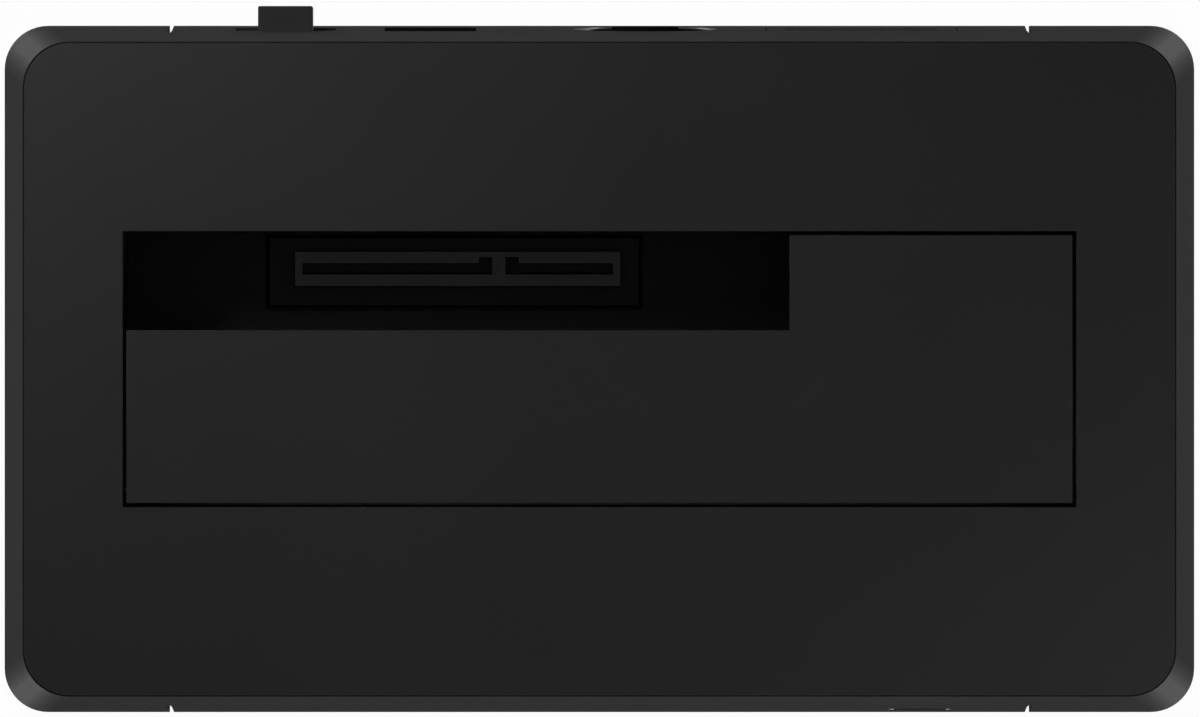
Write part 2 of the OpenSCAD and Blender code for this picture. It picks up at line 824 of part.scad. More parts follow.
module hinge_rod() {
  color(steel) placed() bar_x(-rod_half, rod_half, hinge_y, hinge_z, rod_r);
}

// Path of the spring wire: a straight leg, the turns round the rod and a second leg.
// Each entry is a point and the direction from the hinge line to it.
function coil_point(a) = [
  [spring_x + spring_pitch * (a - 270) / 360, hinge_y + coil_r * cos(a), hinge_z + coil_r * sin(a)],
  [0, cos(a), sin(a)]
];
function leg_point(x, y, rise) = [[x, y, hinge_z - coil_r + rise], [0, 0, -1]];
leg_rise = leg_rise_share * (hinge_drop + coil_r - flap_t - wire_d);
spring_path = concat(
  [leg_point(spring_x, hinge_y - short_leg, 0), leg_point(spring_x, hinge_y - short_leg / 4, 0)],
  [for (i = [0 : spring_turns * spring_steps]) coil_point(270 + 360 * i / spring_steps)],
  [leg_point(spring_x + spring_l, hinge_y + long_leg / 8, 0),
    leg_point(spring_x + spring_l, hinge_y + long_leg, leg_rise)]
);
// Least gap between two stretches of wire that aren't next to each other
spring_gap = min([
  for (i = [0 : len(spring_path) - 1], j = [i + spring_steps / 2 : len(spring_path) - 1])
    if (j > i + 2) norm(spring_path[i][0] - spring_path[j][0])
]) - wire_d;
echo(spring_gap = spring_gap);

// One tube along a path of points and directions
module tube(path, r, sides) {
  count = len(path);
  points = [
    for (p = path, k = [0 : sides - 1])
      let (a = 360 * k / sides) p[0] + r * (cos(a) * p[1] + sin(a) * [1, 0, 0])
  ];
  walls = [
    for (i = [0 : count - 2], k = [0 : sides - 1])
      let (a = i * sides + k, b = i * sides + (k + 1) % sides)
        each [[a, a + sides, b], [b, a + sides, b + sides]]
  ];
  first = [for (k = [1 : sides - 2]) [0, k, k + 1]];
  end = (count - 1) * sides;
  last = [for (k = [1 : sides - 2]) [end, end + k + 1, end + k]];
  polyhedron(points = points, faces = concat(walls, first, last), convexity = 10);
}

// Torsion spring that closes the flap
module flap_spring() {
  color(steel) placed() tube(spring_path, wire_d / 2, spring_sides);
}

// Left end of each slot of the drive connector
power_left = slot_mid_x - sata_w / 2 + sata_end;
data_left = power_left + power_slot_w + sata_slot_between;

module sata_slot(x, w, key_x) {
  front = sata_y - sata_slot_t / 2;
  span([x, front, sata_top - sata_slot_depth], [x + w, front + sata_slot_t, sata_top + over]);
  span([key_x, front, sata_top - sata_slot_depth], [key_x + key_w, front + sata_slot_t + key_d, sata_top + over]);
}

// Thin plate round the drive connector, just below the tub's floor
module connector_collar() {
  x = window_w / 2 - collar_gap;
  y = window_d / 2 - collar_gap;
  top = bay_floor_top - collar_sunk;
  span([window_x - x, window_y - y, top - collar_t], [window_x + x, window_y + y, top]);
}

// Connector that the drive plugs into, with two keyed slots
module sata_receptacle() {
  left = slot_mid_x - sata_w / 2;
  front = sata_y - sata_d / 2;
  color(plastic_dark) placed() difference() {
    union() {
      span([left, front, board_top], [left + sata_w, front + sata_d, sata_top]);
      span([left, front + sata_d / 2, board_top],
        [left + sata_w, front + sata_d + sata_flange_d, board_top + sata_flange_h]);
      connector_collar();
    }
    sata_slot(power_left, power_slot_w, power_left + power_slot_w - key_w);
    sata_slot(data_left, data_slot_w, data_left);
  }
}

// One contact: a leaf in the slot and its solder foot in front of the connector
module sata_contact(x) {
  slot_face = sata_y - sata_slot_t / 2;
  slot_floor = sata_top - sata_slot_depth;
  front = sata_y - sata_d / 2;
  span([x - leaf_pin_w / 2, slot_face, slot_floor], [x + leaf_pin_w / 2, slot_face + leaf_pin_t, sata_top - leaf_pin_short]);
  span([x - leaf_pin_w / 2, front - solder_l, board_top], [x + leaf_pin_w / 2, front, board_top + solder_t]);
}

module sata_contacts() {
  power_mid = power_left + power_slot_w / 2;
  data_mid = data_left + data_slot_w / 2;
  color(gold) placed() {
    for (i = [0 : power_pins - 1]) sata_contact(power_mid + (i - (power_pins - 1) / 2) * sata_pitch);
    for (i = [0 : data_pins - 1]) sata_contact(data_mid + (i - (data_pins - 1) / 2) * sata_pitch);
  }
}

module main_board() {
  color(green) placed() difference() {
    span([-board_w / 2, board_front, board_bottom], [board_w / 2, board_rear, board_top]);
    for (x = board_xs, y = board_ys) {
      translate([x, y, board_bottom - over]) cylinder(h = board_t + 2 * over, r = board_hole_r, $fn = smooth);
    }
  }
}

// Outline of the USB shell, smaller all round by inset, from its lower edge up
function usb_outline(inset) =
  let (w = usb_w / 2 - inset, u = usb_upper_w / 2 - inset, c = usb_chamfer) [
    [-w, inset], [w, inset], [w, usb_lower_h - c], [u, usb_lower_h], [u, usb_h - inset],
    [-u, usb_h - inset], [-u, usb_lower_h], [-w, usb_lower_h - c]
  ];

// Stretch of a USB outline from one y to another
module usb_prism(y0, y1, inset) {
  translate([usb_x, y1, usb_bottom]) rotate([90, 0, 0])
    linear_extrude(height = y1 - y0) polygon(usb_outline(inset));
}

module usb_shell() {
  color(steel) placed() difference() {
    usb_prism(usb_rear, usb_front, 0);
    usb_prism(usb_rear + usb_sheet, usb_front + over, usb_sheet);
  }
}

usb_tongue_z = usb_bottom + usb_lower_h / 2 - usb_tongue_h / 2;
usb_blade_z = usb_bottom + (usb_lower_h + usb_h) / 2;

// Block at the back of the USB shell, with a thick and a thin tongue
module usb_insulator() {
  block_front = usb_rear + usb_sheet + usb_block_l;
  tongue_front = usb_front - usb_tongue_in;
  color([0.1, 0.28, 0.62]) placed() {
    usb_prism(usb_rear + usb_sheet + seat_gap, block_front, usb_sheet + seat_gap);
    span([usb_x - usb_tongue_w / 2, block_front - over, usb_tongue_z],
      [usb_x + usb_tongue_w / 2, tongue_front, usb_tongue_z + usb_tongue_h]);
    span([usb_x - usb_tongue_w / 2, block_front - over, usb_blade_z],
      [usb_x + usb_tongue_w / 2, tongue_front, usb_blade_z + usb_blade_h]);
  }
}

module usb_contacts() {
  front = usb_front - 2 * usb_tongue_in;
  step = usb_tongue_w / 2;
  fast_step = usb_tongue_w / 5;
  color(gold) placed() {
    for (x = [usb_x - step / 2, usb_x + step / 2]) {
      span([x - usb_pin_w / 2, front - usb_pin_l, usb_tongue_z - usb_pin_t], [x + usb_pin_w / 2, front, usb_tongue_z]);
      span([x - usb_pin_w / 2, front - usb_pin_l, usb_tongue_z + usb_tongue_h],
        [x + usb_pin_w / 2, front, usb_tongue_z + usb_tongue_h + usb_pin_t]);
    }
    for (i = [-2 : 2]) {
      x = usb_x + i * fast_step;
      span([x - usb_fast_pin_w / 2, front - usb_pin_l, usb_blade_z - usb_pin_t],
        [x + usb_fast_pin_w / 2, front, usb_blade_z]);
    }
  }
}

// Power socket: a block with a round nose and a blind bore
module dc_jack_body() {
  color(plastic_dark) placed() difference() {
    union() {
      span([jack_x - jack_w / 2, jack_face - jack_l, board_top], [jack_x + jack_w / 2, jack_face, board_top + jack_h]);
      bar_y(jack_x, jack_face - over, nose_front, port_z, nose_r);
    }
    bar_y(jack_x, nose_front - jack_bore_l, nose_front + over, port_z, jack_bore_r);
    bar_y(jack_x, jack_face - jack_l - over, nose_front, port_z, jack_rivet_r + screw_gap);
    span([jack_x - leaf_w / 2 - screw_gap, nose_front - jack_bore_l, port_z - jack_bore_r - leaf_t - screw_gap],
      [jack_x + leaf_w / 2 + screw_gap, nose_front - leaf_in, port_z]);
  }
}

module dc_jack_pin() {
  tip_y = nose_front - jack_pin_sunk;
  color(steel) placed() {
    bar_y(jack_x, jack_face - jack_l, nose_front - jack_bore_l, port_z, jack_rivet_r);
    bar_y(jack_x, nose_front - jack_bore_l, tip_y - jack_pin_tip, port_z, jack_pin_r);
    translate([jack_x, tip_y - jack_pin_tip, port_z]) rotate([-90, 0, 0])
      cylinder(h = jack_pin_tip, r1 = jack_pin_r, r2 = jack_pin_r / 2, $fn = smooth);
  }
}

// Leaf along the bottom of the power socket's bore
module dc_jack_spring() {
  front = nose_front - leaf_in - screw_gap;
  color(steel) placed()
    span([jack_x - leaf_w / 2, front - leaf_l, port_z - jack_bore_r - leaf_t],
      [jack_x + leaf_w / 2, front, port_z - jack_bore_r]);
}

// Cap of the power button, with a flange inside the rear panel and a socket for the switch
module power_button() {
  w = button_w / 2;
  h = button_h / 2;
  tip = body_d / 2 + button_out;
  grip = stem_w / 2 + screw_gap;
  color(plastic) placed() difference() {
    union() {
      span([button_x - w, flange_y - flange_t, port_z - h], [button_x + w, tip, port_z + h]);
      span([button_x - w - flange_out, flange_y - flange_t, port_z - h - flange_out / 2],
        [button_x + w + flange_out, flange_y, port_z + h + flange_out / 2]);
    }
    span([button_x - grip, flange_y - flange_t - over, port_z - grip],
      [button_x + grip, flange_y - flange_t + stem_grip, port_z + grip]);
  }
}

stem_front = flange_y - flange_t + stem_grip - screw_gap;
stem_rear = stem_front - stem_l;

module switch_plunger() {
  color([0.85, 0.85, 0.82]) placed()
    span([button_x - stem_w / 2, stem_rear, port_z - stem_w / 2], [button_x + stem_w / 2, stem_front, port_z + stem_w / 2]);
}

// Latching switch behind the button
module switch_body() {
  room = stem_w / 2 + screw_gap;
  color(plastic_dark) placed() difference() {
    span([button_x - switch_w / 2, switch_face - switch_d, board_top],
      [button_x + switch_w / 2, switch_face, port_z + switch_top_rise]);
    span([button_x - room, stem_rear - button_travel - loose_gap, port_z - room],
      [button_x + room, switch_face + over, port_z + room]);
  }
}

// Vent insert that lies flush in the rear panel
module rear_vent() {
  w = vent_w / 2 - vent_gap;
  h = vent_h / 2 - vent_gap;
  lip_inset = wall_t + vent_gap;
  color(plastic_dark) placed() difference() {
    union() {
      intersection() {
        leaning_wall(foot_out, panel_top, 0, lip_inset + vent_lip_t);
        span([vent_x - w, 0, port_z - h], [vent_x + w, body_d, port_z + h]);
      }
      intersection() {
        leaning_wall(foot_out, panel_top, lip_inset, lip_inset + vent_lip_t);
        span([vent_x - w - vent_lip, 0, port_z - h - vent_lip], [vent_x + w + vent_lip, body_d, port_z + h + vent_lip]);
      }
    }
    for (i = [0 : slit_count - 1]) {
      z = port_z + (i - (slit_count - 1) / 2) * slit_step;
      span([vent_x - slit_w / 2, 0, z - slit_h / 2], [vent_x + slit_w / 2, body_d, z + slit_h / 2]);
    }
  }
}

// Clear window that carries the lamp's light to the front
module light_pipe() {
  head_rear = -half_d(light_z) + wall_t + over;
  elbow = led_y + light_bar_t / 2;
  color([0.75, 0.8, 0.85]) placed() {
    intersection() {
      leaning(foot_out, panel_top, 0);
      pill_bar(-body_d, head_rear, light_w - 2 * light_gap, light_h - 2 * light_gap);
    }
    translate([light_x - light_bar_w / 2, 0, light_z]) rotate([90, 0, 90]) linear_extrude(height = light_bar_w)
      polygon([
        [head_rear - over, light_bar_t / 2], [elbow - light_bar_t / 2, light_bar_t / 2], [elbow, 0],
        [elbow, board_top + led_h + light_led_gap - light_z],
        [elbow - light_bar_t, board_top + led_h + light_led_gap - light_z],
        [elbow - light_bar_t, -light_bar_t / 2], [head_rear - over, -light_bar_t / 2]
      ]);
  }
}

module power_led() {
  color([0.4, 0.55, 0.9]) placed()
    span([light_x - led_w / 2, led_y - led_d / 2, board_top], [light_x + led_w / 2, led_y + led_d / 2, board_top + led_h]);
}

// Gull-wing lead that starts at the origin and points to +X
module lead(width, rise) {
  translate([0, width / 2, 0]) rotate([90, 0, 0]) linear_extrude(height = width)
    polygon([
      [0, rise], [0, rise - lead_t], [lead_l / 2 - lead_t, rise - lead_t], [lead_l / 2 - lead_t, 0],
      [lead_l, 0], [lead_l, lead_t], [lead_l / 2, lead_t], [lead_l / 2, rise]
    ]);
}

// Chip between the drive and the USB port, with leads on all four sides
module bridge_chip() {
  bottom = board_top + chip_off;
  color([0.08, 0.08, 0.08]) placed() translate([chip_x, chip_y, 0]) {
    difference() {
      span([-chip_w / 2, -chip_w / 2, bottom], [chip_w / 2, chip_w / 2, bottom + chip_h]);
      translate([-chip_w * 3 / 8, chip_w * 3 / 8, bottom + chip_h - dimple_d])
        cylinder(h = dimple_d + over, r = dimple_r, $fn = fine);
    }
    for (turn = [0 : 3], i = [0 : lead_count - 1]) {
      rotate([0, 0, 90 * turn])
        translate([chip_w / 2, (i - (lead_count - 1) / 2) * lead_step, board_top])
          lead(lead_w, chip_off + chip_h / 2);
    }
  }
}

module power_inductors() {
  color([0.25, 0.25, 0.27]) placed() for (share = coil_shares) {
    translate([share * board_w / 2, parts_y, board_top]) {
      for (z = [0, coil_h - coil_end_t]) {
        translate([0, 0, z]) linear_extrude(height = coil_end_t) rounded_rect(coil_w, coil_w, coil_w / 6);
      }
      cylinder(h = coil_h, r = coil_core_r, $fn = smooth);
    }
  }
}

// Round smoothing capacitors, each on its moulded foot
module capacitors() {
  color([0.75, 0.75, 0.77]) placed() for (share = can_shares) {
    translate([share * board_w / 2, parts_y, board_top]) {
      linear_extrude(height = can_foot_h) square(can_foot_w, center = true);
      cylinder(h = can_rise, r = can_r, $fn = smooth);
      cylinder(h = can_rise + can_groove_h, r = can_groove_r, $fn = smooth);
      translate([0, 0, can_rise + can_groove_h])
        cylinder(h = can_h - can_rise - can_groove_h, r = can_r, $fn = smooth);
    }
  }
}

module crystal() {
  base_w = crystal_w + 2 * crystal_base_out;
  base_d = crystal_d + 2 * crystal_base_out;
  color(steel) placed() translate([crystal_x, chip_y, board_top]) {
    linear_extrude(height = crystal_base_h) rounded_rect(base_w, base_d, base_d / 2.2);
    linear_extrude(height = crystal_h) rounded_rect(crystal_w, crystal_d, crystal_d / 2.2);
  }
}

// Voltage converters and memory
module small_chips() {
  bottom = board_top + chip_off;
  places = concat(
    [for (share = so_shares) [share * board_w / 2, parts_y]],
    [[vent_x + so_l, rear_parts_y]]
  );
  color([0.08, 0.08, 0.08]) placed() for (p = places) translate([p[0], p[1], 0]) {
    span([-so_w / 2, -so_l / 2, bottom], [so_w / 2, so_l / 2, bottom + so_h]);
    for (turn = [0, 180], i = [0 : so_leads - 1]) {
      rotate([0, 0, turn])
        translate([so_w / 2, (i - (so_leads - 1) / 2) * so_lead_step, board_top])
          lead(so_lead_w, chip_off + so_h / 2);
    }
  }
}

// Rows of small resistors and capacitors, each with thicker metal ends
module chip_components() {
  color([0.45, 0.36, 0.28]) placed()
    for (p = bit_shares * board_w / 2, i = [0 : bit_columns - 1], j = [0 : bit_rows - 1]) {
      translate([p[0] + i * bit_step, p[1] + j * bit_step, board_top]) {
        span([-bit_w / 2, -bit_d * 0.45, 0], [bit_w / 2, bit_d * 0.45, bit_h * 0.9]);
        for (side = [-1, 1]) {
          translate([side * (bit_w - bit_cap_l) / 2, 0, bit_h / 2]) cube([bit_cap_l, bit_d, bit_h], center = true);
        }
      }
    }
}

module rubber_feet() {
  color([0.05, 0.05, 0.05]) placed() quarters(foot_x, foot_y) {
    cylinder(h = foot_edge, r1 = foot_r - foot_edge, r2 = foot_r, $fn = smooth);
    translate([0, 0, foot_edge]) cylinder(h = foot_out + foot_in - foot_edge, r = foot_r, $fn = smooth);
  }
}

module case_screws() {
  color(steel) placed() quarters(case_x, case_y) {
    translate([0, 0, case_seat]) screw(case_shank_r, case_thread_l, case_head_r, case_head_h);
  }
}

module board_screws() {
  color(steel) placed() for (x = board_xs, y = board_ys) {
    translate([x, y, board_top]) rotate([180, 0, 0])
      screw(board_shank_r, board_t + board_thread_l, board_head_r, board_head_h);
  }
}

module bay_screws() {
  color(steel) placed() quarters(bay_screw_x, bay_screw_y) {
    translate([0, 0, bay_ear_bottom])
      screw(bay_shank_r, bay_ear_t + seat_gap + bay_thread_l, bay_head_r, bay_head_h);
  }
}

upper_shell();
top_panel();
base_shell();
drive_bay();
drive_flap();
hinge_rod();
flap_spring();
sata_receptacle();
sata_contacts();
main_board();
usb_shell();
usb_insulator();
usb_contacts();
dc_jack_body();
dc_jack_pin();
dc_jack_spring();
power_button();
switch_body();
switch_plunger();
rear_vent();
light_pipe();
power_led();
bridge_chip();
power_inductors();
capacitors();
crystal();
small_chips();
chip_components();
rubber_feet();
case_screws();
board_screws();
bay_screws();
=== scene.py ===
import math

import bmesh
import bpy
from mathutils import Matrix, Vector


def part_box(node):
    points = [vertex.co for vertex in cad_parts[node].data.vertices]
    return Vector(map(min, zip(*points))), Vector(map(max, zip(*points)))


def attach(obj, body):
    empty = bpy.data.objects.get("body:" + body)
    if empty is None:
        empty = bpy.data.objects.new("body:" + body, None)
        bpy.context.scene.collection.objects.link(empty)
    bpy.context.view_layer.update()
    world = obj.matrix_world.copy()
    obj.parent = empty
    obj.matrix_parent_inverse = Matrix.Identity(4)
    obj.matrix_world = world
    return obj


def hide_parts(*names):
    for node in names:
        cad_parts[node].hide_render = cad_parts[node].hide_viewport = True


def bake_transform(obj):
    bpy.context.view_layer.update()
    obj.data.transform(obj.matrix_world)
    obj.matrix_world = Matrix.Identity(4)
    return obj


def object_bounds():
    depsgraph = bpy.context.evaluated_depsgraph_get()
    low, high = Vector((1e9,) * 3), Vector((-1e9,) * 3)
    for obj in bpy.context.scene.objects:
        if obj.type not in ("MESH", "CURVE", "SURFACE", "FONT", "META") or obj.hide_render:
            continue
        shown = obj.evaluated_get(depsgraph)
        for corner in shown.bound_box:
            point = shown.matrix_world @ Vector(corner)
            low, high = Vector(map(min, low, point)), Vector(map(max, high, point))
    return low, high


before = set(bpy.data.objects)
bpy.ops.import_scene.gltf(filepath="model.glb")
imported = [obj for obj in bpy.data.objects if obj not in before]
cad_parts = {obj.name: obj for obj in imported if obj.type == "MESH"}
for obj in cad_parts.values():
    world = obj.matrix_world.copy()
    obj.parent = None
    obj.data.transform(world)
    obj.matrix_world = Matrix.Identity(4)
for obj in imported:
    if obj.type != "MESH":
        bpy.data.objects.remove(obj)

bl_info = {
    "name": "Hard drive docking station",
    "version": (1, 0, 0),
    "blender": (4, 5, 0),
    "location": "3D View > Sidebar > Dock",
    "description": "Dresses the packed frame of a drive dock with rounded edges and moulded finishes",
    "category": "Object",
}

CAD_LOW, CAD_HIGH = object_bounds()
MM = 0.001
# The layer of a mesh that marks its rounded edges, which wear
WORN = "worn_edge"

# The hood's box and the middle of its depth (m)
SHELL_LOW, SHELL_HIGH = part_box("upper_shell")
BODY_Y = (SHELL_LOW.y + SHELL_HIGH.y) / 2
# Heights of its bottom edge, of its rim and of the top panel, and how far its walls lean in (mm)
BOTTOM_Z = SHELL_LOW.z / MM
RIM_Z = SHELL_HIGH.z / MM
TOP_Z = CAD_HIGH.z / MM
END_LEAN, FACE_LEAN = 3.05, 2.35
END_SLOPE, FACE_SLOPE = END_LEAN / (TOP_Z - BOTTOM_Z), FACE_LEAN / (TOP_Z - BOTTOM_Z)

# How near two places are that count as the same (mm), and vertices that are merged (m)
TOUCH = 0.03
CAD_WELD, WELD = 2e-6, 1e-7
# How deep the mouths of the rear wall's openings reach below its outer skin (mm)
MOUTH_DEPTH = 3


def half_width(z):
    """Half the hood's width at a height, in mm."""
    return SHELL_HIGH.x / MM - END_SLOPE * (z - BOTTOM_Z)


def half_depth(z):
    """Half the hood's depth at a height, in mm."""
    return (SHELL_HIGH.y - SHELL_LOW.y) / 2 / MM - FACE_SLOPE * (z - BOTTOM_Z)


def on_face(p):
    """True where a point in mm lies on the front or rear wall's outer skin."""
    return abs(abs(p.y) - half_depth(p.z)) < TOUCH


def in_rear_wall(p):
    """True where a point in mm lies in the rear wall or in the mouth of one of its openings."""
    return p.y > half_depth(p.z) - MOUTH_DEPTH


# Settings


def colour_setting(name, description, default):
    return bpy.props.FloatVectorProperty(
        name=name, description=description, subtype="COLOR", size=3, min=0, max=1, default=default
    )


def length_setting(name, description, default):
    return bpy.props.FloatProperty(
        name=name, description=description, default=default, min=0, unit="LENGTH", subtype="DISTANCE",
        precision=5,
    )


def power_setting(name, description, default):
    return bpy.props.FloatProperty(name=name, description=description, default=default, min=0, unit="POWER")


class DockColours(bpy.types.PropertyGroup):
    """Colours of the dock's plastics, rubber feet and board."""

    case: colour_setting("Case", "Hood and base", (0.016, 0.016, 0.0166))
    panel: colour_setting("Panel", "Top panel", (0.008, 0.008, 0.0083))
    flap: colour_setting("Flap", "Drive flap", (0.008, 0.008, 0.0083))
    bay: colour_setting("Bay", "Tub below the opening", (0.01, 0.01, 0.0104))
    button: colour_setting("Button", "Power button", (0.011, 0.011, 0.0114))
    connector: colour_setting("Connector", "Drive connector", (0.06, 0.06, 0.062))
    usb: colour_setting("USB tongue", "Block inside the USB shell", (0.02, 0.07, 0.32))
    rubber: colour_setting("Feet", "Rubber feet", (0.012, 0.012, 0.012))
    board: colour_setting("Board", "Solder mask of the circuit board", (0.008, 0.075, 0.035))


class DockSizes(bpy.types.PropertyGroup):
    """Sizes of the fine shapes and of the moulded texture."""

    edge_round: length_setting("Edge rounding", "Radius of the case's outer edges", 0.00005)
    button_round: length_setting("Button rounding", "Radius of the button's edges", 0.0002)
    grain: length_setting("Grain", "Width of one grain of the moulded texture", 0.00016)
    grain_depth: length_setting("Grain depth", "Depth of the moulded texture", 0.000006)


class DockStage(bpy.types.PropertyGroup):
    """Camera, lamps and floor."""

    lens: bpy.props.FloatProperty(
        name="Lens", description="Focal length of the camera", default=1000, min=50, max=1030, unit="CAMERA"
    )
    key_power: power_setting("Key", "Power of the soft lamp behind and left", 0.525)
    fill_power: power_setting("Fill", "Power of the soft lamp in front and right", 0.415)
    top_power: power_setting("Overhead", "Power of the soft lamp overhead", 0.46)
    low_power: power_setting("Low lamps", "Power of each low lamp at the corners", 0.8)
    floor: colour_setting("Floor", "Pale floor", (0.9, 0.9, 0.9))
    floor_white: bpy.props.FloatProperty(
        name="Floor white", description="Share of the floor that shows as white without light",
        default=0.96, min=0, max=1, subtype="FACTOR",
    )


# Shading nodes


def feed(tree, socket, value):
    """Links a socket to a tone, or sets it to a plain value."""
    if isinstance(value, Tone):
        tree.links.new(value.socket, socket)
    elif socket.type == "RGBA" and len(value) == 3:
        socket.default_value = (*value, 1)
    else:
        socket.default_value = value


def maths(operation, swapped=False):
    """A method of Tone that adds a Math node, with its values swapped for a reflected operator."""

    def method(self, *others, clamp=False):
        node = self.tree.nodes.new("ShaderNodeMath")
        node.operation, node.use_clamp = operation, clamp
        values = (self, *others)
        for socket, value in zip(node.inputs, reversed(values) if swapped else values):
            feed(self.tree, socket, value)
        return Tone(self.tree, node.outputs[0])

    return method


class Tone:
    """A socket of a material, so that shader maths reads as Python."""

    def __init__(self, tree, socket):
        self.tree, self.socket = tree, socket

    __add__ = __radd__ = maths("ADD")
    __mul__ = __rmul__ = maths("MULTIPLY")
    __sub__, __rsub__ = maths("SUBTRACT"), maths("SUBTRACT", swapped=True)
    __truediv__, __gt__, __lt__ = maths("DIVIDE"), maths("GREATER_THAN"), maths("LESS_THAN")
    most, fraction, size = maths("MAXIMUM"), maths("FRACT"), maths("ABSOLUTE")

    def held(self):
        """The same value, kept between 0 and 1."""
        return self.__add__(0.0, clamp=True)


class Shading:
    """The nodes of a material or of the surroundings."""

    def __init__(self, owner):
        owner.use_nodes = True
        self.tree = owner.node_tree
        self.tree.nodes.clear()

    def node(self, kind, settings=None, inputs=None, output=0):
        """Adds a node: its settings first, then the values or links of its sockets."""
        node = self.tree.nodes.new("ShaderNode" + kind)
        for name, value in (settings or {}).items():
            setattr(node, name, value)
        for name, value in (inputs or {}).items():
            feed(self.tree, node.inputs[name], value)
        return Tone(self.tree, node.outputs[output]) if node.outputs else None

    def ramp(self, value, low, high, to_low=0.0, to_high=1.0):
        """From one level to the other as the value goes from low to high, and no further."""
        return self.node(
            "MapRange", {"clamp": True},
            {"Value": value, "From Min": low, "From Max": high, "To Min": to_low, "To Max": to_high},
        )


class Finish(Shading):
    """One procedural material, in Object coordinates."""

    def __init__(self):
        self.material = bpy.data.materials.new("finish")
        super().__init__(self.material)
        self.place = self.node("TexCoord", output="Object")

    def axes(self):
        """How far along X, Y and Z each point lies."""
        return [self.node("SeparateXYZ", {}, {"Vector": self.place}, axis) for axis in "XYZ"]

    def noise(self, width, detail=2.0, stretch=None, rough=0.5):
        """Noise whose blots are about width metres across."""
        place = self.place
        if stretch:
            place = self.node("Mapping", {"vector_type": "POINT"}, {"Vector": place, "Scale": stretch})
        return self.node(
            "TexNoise", {}, {"Vector": place, "Scale": 1 / width, "Detail": detail, "Roughness": rough}
        )

    def peaks(self, noise):
        """The highest grains of a noise."""
        return self.ramp(noise, 0.62, 0.8)

    def mix(self, factor, first, second):
        """From one colour to another."""
        return self.node("Mix", {"data_type": "RGBA"}, {0: factor, 6: first, 7: second}, 2)

    def mottle(self, noise, colour, darker, lighter):
        """The colour, darker in the noise's valleys and lighter on its hills."""
        return self.mix(noise, shade(colour, darker), shade(colour, lighter))

    def bump(self, height, depth):
        return self.node("Bump", {}, {"Height": height, "Distance": depth})

    def principled(self, **sockets):
        """A Principled shader with these sockets."""
        return self.node("BsdfPrincipled", {}, {k.replace("_", " "): v for k, v in sockets.items()})

    def end(self, surface):
        self.node("OutputMaterial", {}, {"Surface": surface})
        return self.material

    def done(self, tint, rough, height, depth, shine=0.5, **more):
        """Ends the material in a Principled shader with a relief."""
        more.update(Base_Color=tint, Roughness=rough.held(), Specular_IOR_Level=shine)
        return self.end(self.principled(Normal=self.bump(height, depth), **more))


# Finishes


# Grain of small smooth mouldings, its width and depth, and of plain mouldings inside the case (m)
SMOOTH_GRAIN, SMOOTH_DEPTH, INNER_GRAIN = 0.0004, 0.000004, 0.0003
# The middle of a noise, which leaves a value as it is
MEAN = 0.5


def shade(colour, factor):
    return tuple(min(1, part * factor) for part in colour)


def moulded(
    colour, roughness, shine, grain=None, depth=None,
    mottled=0.1, rubbed=0.25, smudged=0.14, uneven=0.12, polish=None,
):
    """Moulded plastic: fine grain with painted glints on its highest points, faint mottling and edges rubbed a
    little lighter and smoother.
    """
    sizes = bpy.context.scene.dock_sizes
    # widths of broad mottling, of smudges and of the rubbed spots on edges (m)
    broad_width, smudge_width, rub_width = 0.021, 0.034, 0.0016
    painted_glint, painted_glint_tint, worn_tint, worn_polish = 0.35, 1.6, 2.6, 0.1
    f = Finish()
    fine = f.noise(grain or sizes.grain, rough=0.6)
    smudge = f.noise(smudge_width)
    worn = f.node("Attribute", {"attribute_name": WORN}, output="Fac")
    worn *= f.ramp(f.noise(rub_width, 3.0), 0.38, 0.62)
    tint = f.mottle(f.noise(broad_width, 3.0), colour, 1 - mottled, 1 + mottled)
    # painted highlight: the grain's highest points are coloured lighter, as glints
    tint = f.mix(f.peaks(fine) * painted_glint, tint, shade(colour, painted_glint_tint))
    tint = f.mix(worn * rubbed, tint, shade(colour, worn_tint))
    rough = roughness + (smudge - MEAN) * smudged + (fine - MEAN) * uneven - worn * worn_polish
    if polish:
        rough = rough - polish(f)
    return f.done(tint, rough, fine, depth or sizes.grain_depth, shine)


def smooth_moulded(colour, roughness, shine, depth=SMOOTH_DEPTH, mottled=0.06):
    return moulded(colour, roughness, shine, SMOOTH_GRAIN, depth, mottled)


def corner_polish(f):
    """How much smoother hands have rubbed the case's four upright corners."""
    start, full, most = 0.0048, 0.0021, 0.405
    x, y, z = f.axes()
    rise = z - BOTTOM_Z * MM
    side = x.size() + rise * END_SLOPE
    front = (y - BODY_Y).size() + rise * FACE_SLOPE
    half_w, half_d = SHELL_HIGH.x, (SHELL_HIGH.y - SHELL_LOW.y) / 2
    return f.ramp(side, half_w - start, half_w - full) * f.ramp(front, half_d - start, half_d - full) * most


def case_skin(colour):
    """The case's matt moulded skin."""
    return moulded(colour, 0.9, 0.024, smudged=0.08, uneven=0.1, polish=corner_polish)


